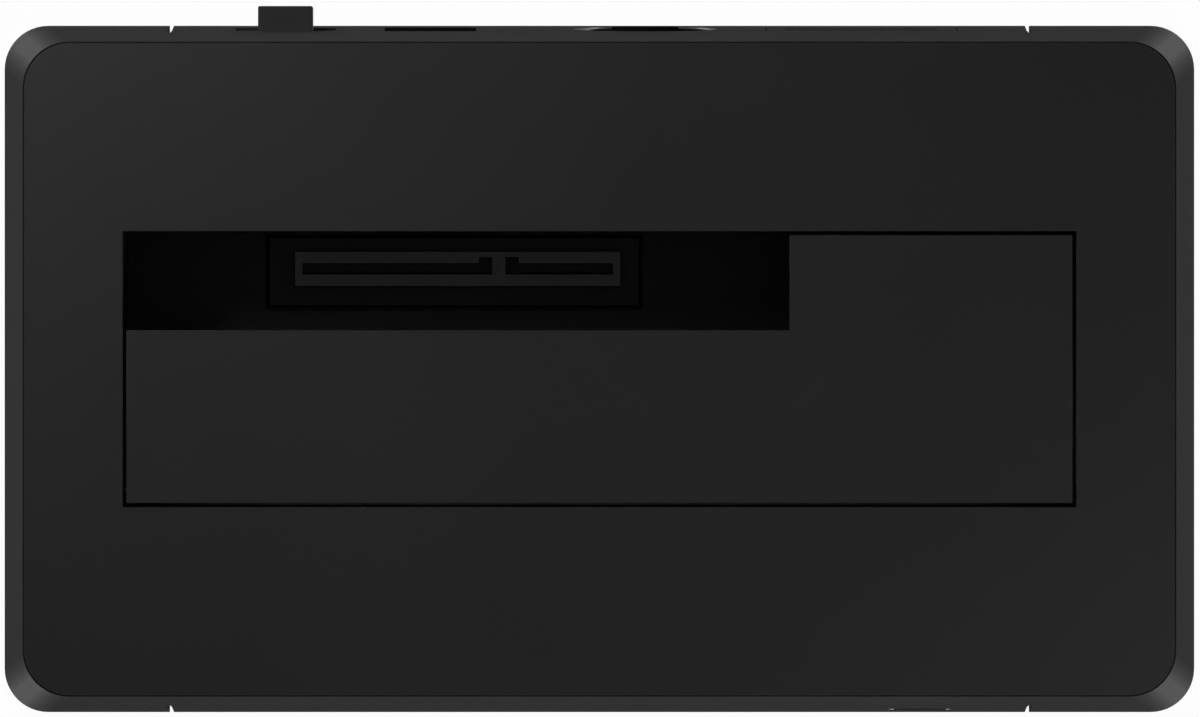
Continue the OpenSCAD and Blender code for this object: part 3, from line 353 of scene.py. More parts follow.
def polished_and_shaded_dish(colour):
    """The dish round the power socket: polished at both sides of its lip, with shade painted dark in its middle
    and matt black below the lip.
    """
    # distances sideways from the middle of the polish and of the painted shade, and depths below the skin (m)
    shift, dark_end, bright, black_end, bright_end = 0.00035, 0.004, 0.0058, 0.0066, 0.0076
    lip, below, ring_width, relief_depth = 0.00011, 0.00018, 0.0016, 0.000002
    f = Finish()
    x, y, z = f.axes()
    away = (x - middle_of("dc_jack_body").x - shift).size()
    skin = SHELL_HIGH.y - (z - BOTTOM_Z * MM) * FACE_SLOPE
    shade_below_lip = f.ramp(skin - y, lip, below) * (1 - f.ramp(away, bright, black_end))
    outer = f.ramp(away, dark_end, bright) * (1 - shade_below_lip)
    sides = outer * outer * (1 - f.ramp(away, bright, bright_end))
    rings = f.noise(ring_width)
    # painted shade: a fifth of the colour in the dish's middle and below its lip
    tint = f.mix(outer, shade(colour, 0.2), f.mottle(rings, colour, 0.9, 1.1))
    rough = (1 - outer * 0.2 - sides * 0.6 + (rings - MEAN) * 0.06).held()
    relief = f.bump(f.noise(SMOOTH_GRAIN), relief_depth)
    polished = f.principled(Base_Color=tint, Roughness=rough, Specular_IOR_Level=0.3, Normal=relief)
    # painted shade below the lip: black plastic without reflection
    matt = f.principled(Base_Color=tint, Roughness=1.0, Specular_IOR_Level=0.0, Normal=relief)
    return f.end(f.node("MixShader", {}, {0: shade_below_lip, 1: polished, 2: matt}))


def scuffed(colour, roughness, shine):
    """Smooth dark plastic with upright rub marks where drives slide in."""
    mark_width, cloud_width, fine_width, along_z = 0.0007, 0.018, 0.0002, (1, 1, 0.02)
    f = Finish()
    rubs = f.ramp(f.noise(mark_width, 3.0, along_z, 0.65), 0.6, 0.75)
    cloud = f.noise(cloud_width)
    tint = f.mix(rubs * 0.5, f.mottle(cloud, colour, 0.85, 1.15), shade(colour, 2.2))
    rough = roughness - rubs * 0.12 + (cloud - MEAN) * 0.1
    relief = f.noise(fine_width, 1.0) + rubs * 0.6
    return f.done(tint, rough, relief, SMOOTH_DEPTH, shine)


def metal(colour, roughness, stretch=(1, 1, 1), tarnish=0.2):
    """Metal with drawing marks along one axis and a faint tarnish."""
    grain, cloud_width, spot_width, drawn_depth = 0.00025, 0.004, 0.0009, 0.000003
    f = Finish()
    drawn = f.noise(grain, 3.0, stretch, 0.6)
    cloud = f.ramp(f.noise(cloud_width, 3.0), 0.4, 0.75)
    spots = f.peaks(f.noise(spot_width))
    tint = f.mix(cloud * tarnish, colour, shade(colour, 0.62))
    tint = f.mix(spots * tarnish * 0.5, tint, shade(colour, 0.5))
    rough = roughness + (drawn - MEAN) * 0.22 + spots * 0.08
    return f.done(tint, rough, drawn, drawn_depth, Metallic=1.0)


def solder_mask(colour):
    """Circuit board: lanes and areas of copper under solder mask, bare dots and a faint weave."""
    # how far apart the lanes lie, and the share of it that is copper
    pitch_x, pitch_y, copper_x, copper_y = 0.00089, 0.00076, 0.4, 0.45
    patch_width, gap_width, pour_width, weave_width = 0.009, 0.0042, 0.02, 0.0004
    # how far apart the dots lie, the share of it that a dot reaches, and the depth of the relief
    dot_pitch, dot_reach, relief_depth = 0.0038, 0.1, 0.00002
    f = Finish()
    x, y, _ = f.axes()
    across = f.noise(patch_width, 1.0) > MEAN
    gaps = f.noise(gap_width)
    lanes = ((y / pitch_y).fraction() < copper_y) * across
    lanes += ((x / pitch_x).fraction() < copper_x) * (1 - across)
    pour = f.ramp(f.noise(pour_width, 1.0), 0.56, 0.57)
    copper = (lanes * f.ramp(gaps, 0.47, 0.5)).most(pour)
    dots = f.node("TexVoronoi", {"feature": "F1"}, {"Vector": f.place, "Scale": 1 / dot_pitch})
    ring = (dots < dot_reach) * (gaps > MEAN)
    weave = f.noise(weave_width, 2.0, (1, 1, 3))
    tint = f.mix(copper, f.mottle(weave, colour, 0.9, 1.1), shade(colour, 1.75))
    tint = f.mix(ring, tint, (0.62, 0.6, 0.55))
    rough = 0.38 + (weave - MEAN) * 0.1 + ring * 0.05
    return f.done(tint, rough, copper + weave * 0.15, relief_depth, 0.4, Metallic=ring * 0.9)


def smoked(colour, roughness, shine):
    """Smoked plastic with a fine haze, dark while the lamp behind it is off."""
    haze_width, flow_width, along_y = 0.0006, 0.004, (1, 0.2, 1)
    f = Finish()
    haze = f.noise(haze_width, 3.0)
    tint = f.mottle(f.noise(flow_width, 2.0, along_y), colour, 0.8, 1.25)
    return f.done(tint, roughness + haze * 0.2, haze, SMOOTH_DEPTH, shine)


def lamp_face():
    """Yellow coated face of the small lamp, which is off."""
    cloud_width, cloud_depth = 0.0006, 0.000008
    f = Finish()
    cloud = f.noise(cloud_width, 3.0)
    tint = f.mix(cloud, (0.72, 0.52, 0.09), (0.86, 0.68, 0.16))
    return f.done(tint, 0.25 + cloud * 0.3, cloud, cloud_depth)


def enamelled_wire():
    """Copper wire with clear brown enamel."""
    drawn_width, along_turns = 0.0003, (1, 1, 4)
    f = Finish()
    drawn = f.noise(drawn_width, 3.0, along_turns)
    tint = f.mix(drawn, (0.42, 0.12, 0.035), (0.62, 0.22, 0.08))
    return f.done(tint, 0.22 + drawn * 0.2, drawn, SMOOTH_DEPTH, Metallic=1.0, Coat_Weight=0.6)


def grained(colour, roughness, shine, width, depth):
    """Pressed or moulded stuff with a grain of its own: ferrite, resin, ceramic and rubber."""
    pit_width = width * 4
    f = Finish()
    fine = f.noise(width, 3.0, rough=0.7)
    pits = f.ramp(f.noise(pit_width), 0.3, 0.42)
    tint, rough = f.mottle(fine, colour, 0.8, 1.2), roughness + (fine - MEAN) * 0.2
    return f.done(tint, rough, fine * 0.6 + pits * 0.4, depth, shine)


def floor_shade(colour, white_share):
    """White to the camera and in reflections, but for the object's shadow."""
    f = Finish()
    kinds = ("Is Camera Ray", "Is Glossy Ray", "Is Transmission Ray")
    seen, glossy, through = (f.node("LightPath", output=kind) for kind in kinds)
    lit = f.node("BsdfDiffuse", {}, {"Color": colour})
    white = f.node("Emission", {}, {"Color": (1, 1, 1), "Strength": 1.0})
    share = seen.most(glossy).most(through) * white_share
    return f.end(f.node("MixShader", {}, {0: share, 1: lit, 2: white}))


# How metal was drawn: the noise is stretched along one axis
ALONG_X, ALONG_Y, ALONG_Z, WIRE = (0.03, 1, 1), (1, 0.05, 1), (1, 1, 0.1), (0.3, 1, 1)
FINISHES = {}


def finish(name):
    """The material of that name, made when it is first asked for."""
    if name in FINISHES:
        return FINISHES[name]
    scene = bpy.context.scene
    colours, stage = scene.dock_colours, scene.dock_stage
    # most makers take the colour, the roughness and the shine, and grained its grain's width and depth (m)
    makers = {
        "case_plastic": lambda: case_skin(colours.case),
        "panel_plastic": lambda: moulded(colours.panel, 0.4, 0.13),
        "flap_plastic": lambda: moulded(colours.flap, 0.4, 0.13),
        "bay_plastic": lambda: scuffed(colours.bay, 0.38, 0.3),
        "button_plastic": lambda: moulded(colours.button, 0.5, 0.14),
        "connector_plastic": lambda: smooth_moulded(colours.connector, 0.36, 0.95),
        # painted shade of the drive connector's slots and collar
        "slot_shade_plastic": lambda: smooth_moulded((0.01, 0.01, 0.0103), 0.42, 0.42),
        # polished dish with painted shade in its middle and below its lip
        "polished_plastic_with_shade": lambda: polished_and_shaded_dish(colours.case),
        # painted shade: black plastic without reflection, for the wall below the hinge and the socket's body
        "matt_shade_plastic": lambda: moulded((0.004, 0.004, 0.0041), 0.95, 0.0, INNER_GRAIN),
        # painted shade: black plastic without reflection, for the hood's shoulder, the plates' side walls and
        # the USB mouth
        "seam_shade_plastic": lambda: smooth_moulded((0.005, 0.005, 0.0052), 1.0, 0.0),
        "usb_plastic": lambda: smooth_moulded(colours.usb, 0.4, 0.4, depth=0.000003, mottled=0.05),
        "switch_plastic": lambda: moulded((0.012, 0.012, 0.012), 0.5, 0.35, INNER_GRAIN),
        "white_plastic": lambda: moulded((0.72, 0.71, 0.67), 0.42, 0.4, INNER_GRAIN, mottled=0.03, rubbed=0),
        "clear_plastic": lambda: smoked((0.006, 0.0062, 0.0066), 0.85, 0.0),
        "window_ends": lambda: smoked((0.008, 0.0083, 0.009), 0.12, 0.25),
        "lamp": lamp_face,
        "steel": lambda: metal((0.6, 0.6, 0.61), 0.3, ALONG_X),
        "blackened_steel": lambda: metal((0.014, 0.014, 0.0145), 0.6, ALONG_X),
        "spring_steel": lambda: metal((0.03, 0.03, 0.032), 0.5, WIRE, tarnish=0.3),
        "nickel": lambda: metal((0.68, 0.66, 0.62), 0.26, ALONG_Y),
        "gold": lambda: metal((0.86, 0.6, 0.24), 0.24, ALONG_Z, tarnish=0.12),
        # dark gold: painted shade on the contacts' tips
        "shaded_gold": lambda: metal((0.16, 0.1, 0.04), 0.5, ALONG_Z, tarnish=0.3),
        "tin": lambda: metal((0.7, 0.7, 0.69), 0.36, tarnish=0.15),
        "board": lambda: solder_mask(colours.board),
        "chip_resin": lambda: grained((0.013, 0.013, 0.014), 0.55, 0.35, 0.00012, 0.000005),
        "ferrite": lambda: grained((0.03, 0.03, 0.033), 0.62, 0.4, 0.0002, 0.00001),
        "enamelled_wire": enamelled_wire,
        "can_aluminium": lambda: metal((0.78, 0.78, 0.79), 0.3, ALONG_Z, tarnish=0.08),
        "ceramic": lambda: grained((0.2, 0.12, 0.07), 0.5, 0.4, 0.0001, 0.000004),
        "foot_rubber": lambda: grained(colours.rubber, 0.85, 0.2, 0.0003, 0.00001),
        "floor": lambda: floor_shade(stage.floor, stage.floor_white),
    }
    FINISHES[name] = makers[name]()
    FINISHES[name].name = name + "_finish"
    return FINISHES[name]


# Mesh helpers


def in_body(point):
    """A point of the frame in mm, from the body's middle."""
    return Vector((point.x, point.y - BODY_Y, point.z)) / MM


def box_of(node):
    """The lowest and highest corner of a CAD node, in mm from the body's middle."""
    return [in_body(corner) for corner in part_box(node)]


def middle_of(node):
    """The middle of a CAD node's box, in the frame."""
    low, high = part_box(node)
    return (low + high) / 2


def show(name, data):
    """Adds an object to the scene."""
    thing = bpy.data.objects.new(name, data)
    bpy.context.scene.collection.objects.link(thing)
    return thing


def solid_of(node):
    """The surface of a CAD node as one merged mesh."""
    flat = math.radians(0.4)
    bm = bmesh.new()
    bm.from_mesh(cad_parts[node].data)
    for layers in (bm.loops.layers.uv, bm.loops.layers.float_color, bm.loops.layers.color):
        for layer in list(layers.values()):
            layers.remove(layer)
    bmesh.ops.remove_doubles(bm, verts=bm.verts, dist=CAD_WELD)
    bmesh.ops.dissolve_limit(bm, angle_limit=flat, verts=bm.verts, edges=bm.edges)
    return bm


def sharp_edges(bm, wanted):
    """Edges with both ends where wanted says, at which the surface turns outwards."""
    least = math.radians(28)
    picked = []
    for edge in bm.edges:
        if len(edge.link_faces) == 2 and edge.calc_face_angle_signed(0) >= least:
            if all(wanted(in_body(v.co)) for v in edge.verts):
                picked.append(edge)
    return picked


def bevel(bm, edges, radius, segments):
    """Rounds these edges, or cuts them flat with one segment, and gives the new faces."""
    return bmesh.ops.bevel(
        bm, geom=edges, offset=radius, offset_type="OFFSET", segments=segments, profile=0.5,
        affect="EDGES", clamp_overlap=True, material=-1,
    )["faces"]


def round_edges(bm, edges, radius, segments=3, wear=1.0):
    """Rounds these edges and marks the new strips as worn."""
    layer = bm.faces.layers.float.get(WORN) or bm.faces.layers.float.new(WORN)
    if edges:
        for face in bevel(bm, edges, radius, segments):
            face[layer] = wear


def mesh_of(name, bm, kinds, sharp=34):
    """An object with this mesh and these finishes, smooth but where it turns by sharp degrees."""
    mesh = bpy.data.meshes.new(name)
    bm.to_mesh(mesh)
    bm.free()
    if "custom_normal" in mesh.attributes:
        mesh.attributes.remove(mesh.attributes["custom_normal"])
    mesh.polygons.foreach_set("use_smooth", [True] * len(mesh.polygons))
    mesh.set_sharp_from_angle(angle=math.radians(sharp))
    for kind in kinds:
        mesh.materials.append(finish(kind))
    return show(name, mesh)


def add_piece(name, bm, slot, node, body="root", finishes=None):
    """Makes a mesh the piece that stands for a CAD node, with its finish, on its body."""
    piece = mesh_of(name, bm, finishes or [slot])
    even = piece.modifiers.new("Even shading", "WEIGHTED_NORMAL")
    even.keep_sharp, even.weight = True, 50
    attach(piece, body)
    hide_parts(node)
    return piece


def everywhere(p):
    return True


def above(height):
    """Picks points that lie no lower than a height in mm."""
    return lambda p: p.z > height - TOUCH


def rounded_copy(
    name, node, slot, wanted=everywhere, radius=None, body="root", segments=3, wear=1.0,
    more=None, more_radius=None, finishes=None,
):
    """A piece with the CAD node's shape and its wanted edges rounded, and more edges less worn."""
    case_radius, less = bpy.context.scene.dock_sizes.edge_round, 0.3
    bm = solid_of(node)
    round_edges(bm, sharp_edges(bm, wanted), radius or case_radius, segments, wear)
    if more:
        round_edges(bm, sharp_edges(bm, more), more_radius or case_radius, segments, wear * less)
    return add_piece(name, bm, slot, node, body, finishes)


def paint_faces(piece, kind, wanted):
    """Gives the faces that wanted picks by their middle and normal another finish."""
    piece.data.materials.append(finish(kind))
    last = len(piece.data.materials) - 1
    for face in piece.data.polygons:
        if wanted(in_body(face.center), face.normal):
            face.material_index = last


def in_shaded_seam(spot, normal):
    """True on the top panel's and flap's side walls, and on the roundings above the hinge, which are painted
    black as shade.
    """
    # reaches in mm, and the most that the normal of a wall and of a rounding may point upwards
    edge_depth, hinge_reach, wall, slant = 0.05, 0.6, 0.2, 0.95
    above_hinge = abs(spot.y - box_of("drive_flap")[0].y) < hinge_reach
    return spot.z < TOP_Z - edge_depth and abs(normal.z) < wall or above_hinge and abs(normal.z) < slant


def lathe(bm, profile, centre, axis, steps, material=0):
    """Spins (radius, height) pairs in mm round an axis through centre, which is in the frame."""
    before = set(bm.faces)
    verts = [bm.verts.new((radius * MM, 0, height * MM)) for radius, height in profile]
    edges = [bm.edges.new(pair) for pair in zip(verts, verts[1:])]
    bmesh.ops.spin(
        bm, geom=verts + edges, axis=(0, 0, 1), cent=(0, 0, 0), angle=math.tau, steps=steps,
        use_merge=True, use_duplicate=False,
    )
    new = list({v for f in bm.faces if f not in before for v in f.verts})
    bmesh.ops.remove_doubles(bm, verts=new, dist=WELD)
    faces = [f for f in bm.faces if f not in before]
    new = list({v for f in faces for v in f.verts})
    bmesh.ops.recalc_face_normals(bm, faces=faces)
    quarter = math.pi / 2
    turn = {"Z": Matrix(), "Y": Matrix.Rotation(-quarter, 4, "X"), "X": Matrix.Rotation(quarter, 4, "Y")}[axis]
    bmesh.ops.transform(bm, matrix=Matrix.Translation(centre) @ turn, verts=new)
    for face in faces:
        face.material_index = material
    return faces


def upright(edge):
    return abs(edge.verts[0].co.z - edge.verts[1].co.z) > TOUCH * MM


def block(bm, low, high, radius, segments, picked=everywhere, material=0):
    """A box between two corners of the frame, with the picked edges rounded."""
    low, high = Vector(low), Vector(high)
    corners = bmesh.ops.create_cube(bm, size=1)["verts"]
    place = Matrix.Translation((low + high) / 2) @ Matrix.Diagonal((*(high - low), 1))
    bmesh.ops.transform(bm, matrix=place, verts=corners)
    for face in {f for v in corners for f in v.link_faces}:
        face.material_index = material
    bevel(bm, [e for e in {e for v in corners for e in v.link_edges} if picked(e)], radius, segments)


# Pieces


class Undoable:
    """Shared by all operators."""

    bl_options = {"REGISTER", "UNDO"}


class DOCK_OT_case_shells(Undoable, bpy.types.Operator):
    """Hood and base with rounded edges along their rims, notches and openings"""

    bl_idname = "dock.case_shells"
    bl_label = "Case shells"

    def execute(self, context):
        self.hood()
        self.base()
        return {"FINISHED"}

    def hood(self):
        """Rounded along its bottom, rim and notches, and painted black as shade on the shoulder under the
        panel.
        """
        # the rim's width, the notches' top and outer side (mm), and how upright a level face's normal is
        rim, notch_top, notch_out, level = 2.5, 26.15, 47.18, 0.99

        def rim_edge(p):
            outer = abs(p.x) > half_width(p.z) - rim or abs(p.y) > half_depth(p.z) - rim
            return p.z < BOTTOM_Z + TOUCH or p.z > RIM_Z - TOUCH and outer

        def notch_edge(p):
            return on_face(p) and p.z < notch_top + TOUCH and abs(p.x) < notch_out + TOUCH

        hood = rounded_copy("hood", "upper_shell", "case_plastic", rim_edge, wear=0.4, more=notch_edge)
        # painted shade on the shoulder's level faces under the panel
        paint_faces(hood, "seam_shade_plastic", lambda spot, normal: spot.z > RIM_Z - TOUCH and normal.z > level)

    def base(self):
        """Rounded on its raised panels, polished in the dish with painted shade in its middle and below its
        lip, and painted black as shade in the USB opening.
        """
        # the dish's reach, the room at the sides of the USB port, and its height above the bottom edge (mm)
        dish_reach, port_side, port_rise = 8.2, 2, 1
        # how far a normal points backwards in the dish's slope, and at most on the walls of the opening
        slope_least, slope_most, wall_most = 0.1, 0.95, 0.5
        jack_x, jack_z = middle_of("dc_jack_body").x / MM, box_of("dc_jack_pin")[0].z
        port_low, port_high = box_of("usb_shell")

        def base_edge(p):
            return on_face(p) or p.z < BOTTOM_Z + TOUCH and abs(p.y) > half_depth(p.z) - MOUTH_DEPTH

        def in_dish(spot, normal):
            away = math.hypot(spot.x - jack_x, spot.z - jack_z)
            return in_rear_wall(spot) and away < dish_reach and slope_least < abs(normal.y) < slope_most

        def in_shaded_usb_mouth(spot, normal):
            inside = port_low.x - port_side < spot.x < port_high.x + port_side and spot.z > BOTTOM_Z + port_rise
            return inside and in_rear_wall(spot) and abs(normal.y) < wall_most

        base = rounded_copy("base", "base_shell", "case_plastic", base_edge, wear=0.1)
        # the dish is polished, with painted shade in its middle and below its lip
        paint_faces(base, "polished_plastic_with_shade", in_dish)
        # painted shade: the USB opening's walls black
        paint_faces(base, "seam_shade_plastic", in_shaded_usb_mouth)


class DOCK_OT_top_plates(Undoable, bpy.types.Operator):
    """Top panel and the L-shaped flap in it, with rounded upper edges and side walls painted black as shade"""

    bl_idname = "dock.top_plates"
    bl_label = "Top panel and flap"

    def execute(self, context):
        lid = rounded_copy("lid", "top_panel", "panel_plastic", above(TOP_Z), wear=0.3)
        flap = rounded_copy("flap", "drive_flap", "flap_plastic", above(TOP_Z), body="flap", wear=0.3)
        # the plates' side walls and the roundings above the hinge are painted black as shade
        for plate in (lid, flap):
            paint_faces(plate, "seam_shade_plastic", in_shaded_seam)
        return {"FINISHED"}


class DOCK_OT_drive_bay(Undoable, bpy.types.Operator):
    """Tub below the drive opening, with its floor window"""

    bl_idname = "dock.drive_bay"
    bl_label = "Drive bay"

    def execute(self, context):
        # the floor's upper face, and how far the window's edges and the front wall lie off at most (mm)
        floor, window_reach, wall_reach = 14.5, 24, 3
        window_round, rim_round, backwards = 0.00004, 0.0002, 0.9
        middle, hinge = middle_of("sata_receptacle").x / MM, box_of("hinge_rod")[0].y

        def window_edge(p):
            return abs(p.z - floor) < TOUCH and abs(p.x - middle) < window_reach

        def shaded_below_hinge(spot, normal):
            """True on the wall below the hinge, painted black and without reflection as shade seen through the
            gap at the hinge.
            """
            return normal.y > backwards and abs(spot.y - hinge) < wall_reach

        tub = rounded_copy(
            "bay_tub", "drive_bay", "bay_plastic", window_edge, window_round,
            more=above(RIM_Z), more_radius=rim_round,
        )
        # painted shade: the wall below the hinge black and without reflection
        paint_faces(tub, "matt_shade_plastic", shaded_below_hinge)
        return {"FINISHED"}


class DOCK_OT_drive_connector(Undoable, bpy.types.Operator):
    """Keyed drive connector with its rows of contacts"""

    bl_idname = "dock.drive_connector"
    bl_label = "Drive connector"

    def execute(self, context):
        self.moulding()
        self.contacts()
        return {"FINISHED"}

    def moulding(self):
        """Light skin, with the slots' walls and the collar painted as shade in a darker, matt finish."""
        # radii of the edges, how far out and down the collar lies at least, and where the slots start (m)
        top_round, collar_round, collar_step, slot_depth, slot_inset = 0.0001, 0.0002, 0.001, 0.0003, 0.0001
        touch = TOUCH * MM
        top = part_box("sata_receptacle")[1].z
        bm = solid_of("sata_receptacle")
        ring = [v.co for v in bm.verts if v.co.z > top - touch]
        left, right = min(co.x for co in ring), max(co.x for co in ring)
        front, rear = min(co.y for co in ring), max(co.y for co in ring)
        collar = max(v.co.z for v in bm.verts if v.co.x < left - collar_step and v.co.z < top - collar_step)
        round_edges(bm, sharp_edges(bm, above(top / MM)), top_round)
        round_edges(bm, sharp_edges(bm, lambda p: abs(p.z * MM - collar) < touch), collar_round)
        for face in bm.faces:
            x, y, z = face.calc_center_median()
            inset = min(abs(x - left), abs(x - right), abs(y - front), abs(y - rear))
            # painted shade: faces in the slots and the collar
            face.material_index = 1 if z < top - slot_depth and inset > slot_inset else 0
        kinds = ["connector_plastic", "slot_shade_plastic"]
        add_piece("drive_connector", bm, "connector_plastic", "sata_receptacle", finishes=kinds)

    def contacts(self):
        """Gold strips, with their tips painted darker as shade in the slots."""
        tip_round, tip_length = 0.0001, 2.5
        top = box_of("sata_contacts")[1].z
        strips = rounded_copy("drive_contacts", "sata_contacts", "gold", above(top), tip_round)
        # painted shade: the tips near the slot mouth coloured dark gold
        paint_faces(strips, "shaded_gold", lambda spot, normal: spot.z > top - tip_length)


class DOCK_OT_flap_hinge(Undoable, bpy.types.Operator):
    """Hinge rod with chamfered ends and the wound spring that closes the flap"""

    bl_idname = "dock.flap_hinge"
    bl_label = "Flap hinge"

    def execute(self, context):
        self.rod()
        self.spring(context)
        return {"FINISHED"}

    def rod(self):
        # the chamfer of the ends (mm)
        cut = 0.15
        low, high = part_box("hinge_rod")
        rod_r, half = (high.z - low.z) / 2 / MM, (high.x - low.x) / 2 / MM
        end = [(rod_r, half - cut), (rod_r - cut, half), (0, half)]
        bm = bmesh.new()
        lathe(bm, [(r, -x) for r, x in reversed(end)] + end, middle_of("hinge_rod"), "X", 32)
        add_piece("rod", bm, "steel", "hinge_rod", finishes=["blackened_steel"])

    def spring(self, context):
        """A leg in the tub's wall, the turns round the rod and a leg that rides under the flap."""
        # the wire, the turns, the legs, the hinge's depth below the top face and the flap's thickness (mm)
        wire_r, coil_r, pitch, turns = 0.16, 0.78, 0.85, 9
        short_leg, long_leg = 4.0, 9.0
        bend_in, bend_out = short_leg / 4, long_leg / 8
        hinge_drop, flap_t, rise_share = 1.7, 2.0, 0.8
        leg_rise = rise_share * (hinge_drop + coil_r - flap_t - 2 * wire_r)
        steps, first_turn = 24, 270
        axle = Vector((0, *middle_of("hinge_rod").yz))
        y, z = axle.y / MM, axle.z / MM
        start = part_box("flap_spring")[0].x / MM + wire_r
        end = start + pitch * turns
        path = [(start, y - short_leg, z - coil_r), (start, y - bend_in, z - coil_r)]
        for i in range(turns * steps + 1):
            a = math.radians(first_turn + 360 * i / steps)
            path.append((start + pitch * i / steps, y + coil_r * math.cos(a), z + coil_r * math.sin(a)))
        path += [(end, y + bend_out, z - coil_r), (end, y + long_leg, z - coil_r + leg_rise)]
        spring = mesh_of("spring", self.wound(context, path, wire_r), ["spring_steel"], sharp=50)
        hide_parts("flap_spring")
        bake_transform(spring)

    def wound(self, context, path, wire_r):
        """Round wire along a path, both in mm."""
        curve = bpy.data.curves.new("spring_path", "CURVE")
        curve.dimensions, curve.bevel_depth, curve.bevel_resolution = "3D", wire_r * MM, 2
        curve.use_fill_caps = True
        line = curve.splines.new("POLY")
        line.points.add(len(path) - 1)
        for point, place in zip(line.points, path):
            point.co = (*(Vector(place) * MM), 1)
        shape = show("spring_path", curve)
        context.view_layer.update()
        bm = bmesh.new()
        bm.from_mesh(bpy.data.meshes.new_from_object(shape.evaluated_get(context.evaluated_depsgraph_get())))
        bpy.data.objects.remove(shape)
        bmesh.ops.remove_doubles(bm, verts=bm.verts, dist=WELD)
        bmesh.ops.recalc_face_normals(bm, faces=bm.faces)
        return bm


class DOCK_OT_usb_port(Undoable, bpy.types.Operator):
    """USB port: sheet metal shell, moulded tongues and contacts"""

    bl_idname = "dock.usb_port"
    bl_label = "USB port"

    def execute(self, context):
        shell_round, tongue_round, contact_round = 0.00008, 0.0001, 0.00004
        mouth = box_of("usb_shell")[1].y
        rounded_copy("port_shell", "usb_shell", "nickel", lambda p: p.y > mouth - TOUCH, shell_round)
        rounded_copy("port_tongues", "usb_insulator", "usb_plastic", radius=tongue_round, segments=2)
        rounded_copy("port_contacts", "usb_contacts", "gold", radius=contact_round, segments=1)
        return {"FINISHED"}


class DOCK_OT_power_socket(Undoable, bpy.types.Operator):
    """Power socket: moulded body, centre pin and contact leaf"""

    bl_idname = "dock.power_socket"
    bl_label = "Power socket"

    def execute(self, context):
        nose_round, leaf_round = 0.00025, 0.00008
        nose = box_of("dc_jack_body")[1].y
        # the socket's body is black plastic, painted darker and without reflection as shade
        rounded_copy(
            "socket_body", "dc_jack_body", "switch_plastic", lambda p: p.y > nose - TOUCH, nose_round,
            wear=0.2, finishes=["matt_shade_plastic"],
        )
        self.pin()
        rounded_copy("socket_leaf", "dc_jack_spring", "nickel", radius=leaf_round, segments=2)
        return {"FINISHED"}

    def pin(self):
        """A rivet in the socket's rear wall and a shank with a rounded tip."""
        shank, tip, shank_length, rivet_cut = 1.0, 0.55, 9.4, 0.2
        # the tip's rounding: shares of the shank's radius, and how far before the end (mm)
        rounding = ((1, 0.5), (0.93, 0.28), (0.78, 0.1))
        low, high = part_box("dc_jack_pin")
        foot = middle_of("dc_jack_pin")
        foot.y = low.y
        length, rivet = (high.y - low.y) / MM, (high.x - low.x) / 2 / MM
        step = length - shank_length
        profile = [(0, 0), (rivet - rivet_cut, 0), (rivet, rivet_cut), (rivet, step), (shank, step)]
        profile += [(shank * share, length - before) for share, before in rounding]
        profile += [(tip, length), (0, length)]
        bm = bmesh.new()
        lathe(bm, profile, foot, "Y", 36)
        add_piece("socket_pin", bm, "nickel", "dc_jack_pin")


class DOCK_OT_power_button(Undoable, bpy.types.Operator):
    """Power button with the latching switch behind it"""

    bl_idname = "dock.power_button"
    bl_label = "Power button"

    def execute(self, context):
        # the flange's thickness (mm) and the radius of the switch's edges (m)
        flange_t, switch_round = 1, 0.0002
        cap_round = context.scene.dock_sizes.button_round
        flange = box_of("power_button")[0].y + flange_t

        def cap(p):
            return p.y > flange - TOUCH

        rounded_copy("button", "power_button", "button_plastic", cap, cap_round, body="button", segments=4)
        rounded_copy("switch_case", "switch_body", "switch_plastic", radius=switch_round, segments=2)
        rounded_copy(
            "switch_stem", "switch_plunger", "white_plastic", radius=switch_round, body="button", segments=2
        )
        return {"FINISHED"}


class DOCK_OT_rear_vent(Undoable, bpy.types.Operator):
    """Slotted insert in the rear panel"""

    bl_idname = "dock.rear_vent"
    bl_label = "Rear vent"

    def execute(self, context):
        rounded_copy(
            "vent", "rear_vent", "bay_plastic", on_face, segments=2, wear=0.1, finishes=["case_plastic"]
        )
        return {"FINISHED"}


class DOCK_OT_light_window(Undoable, bpy.types.Operator):
    """Smoked light window with the small lamp behind it"""

    bl_idname = "dock.light_window"
    bl_label = "Light window"

    def execute(self, context):
        self.guide()
        self.lamp()
        return {"FINISHED"}

    def guide(self):
        """Frosted but for its polished round ends, whose length is in mm."""
        end = 0.55
        low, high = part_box("light_pipe")
        bm = solid_of("light_pipe")
        for x, side in ((low.x + end * MM, -1), (high.x - end * MM, 1)):
            bmesh.ops.bisect_plane(
                bm, geom=[*bm.verts, *bm.edges, *bm.faces], dist=WELD, plane_co=(x, 0, 0), plane_no=(side, 0, 0)
            )
        guide = add_piece("light_guide", bm, "clear_plastic", "light_pipe")
        middle, half = (low.x + high.x) / 2 / MM, (high.x - low.x) / 2 / MM
        paint_faces(guide, "window_ends", lambda spot, normal: abs(spot.x - middle) > half - end)

    def lamp(self):
        """A white body with a sunk yellow face."""
        edge_round, rim, sunk = 0.0001, 0.0004, 0.00012
        low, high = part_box("power_led")
        bm = bmesh.new()
        block(bm, low, high, edge_round, 2)
        top = max(bm.faces, key=lambda f: f.calc_center_median().z)
        bmesh.ops.inset_individual(bm, faces=[top], thickness=rim, depth=-sunk)
        top.material_index = 1
        add_piece("lamp_chip", bm, "lamp", "power_led", finishes=["white_plastic", "lamp"])


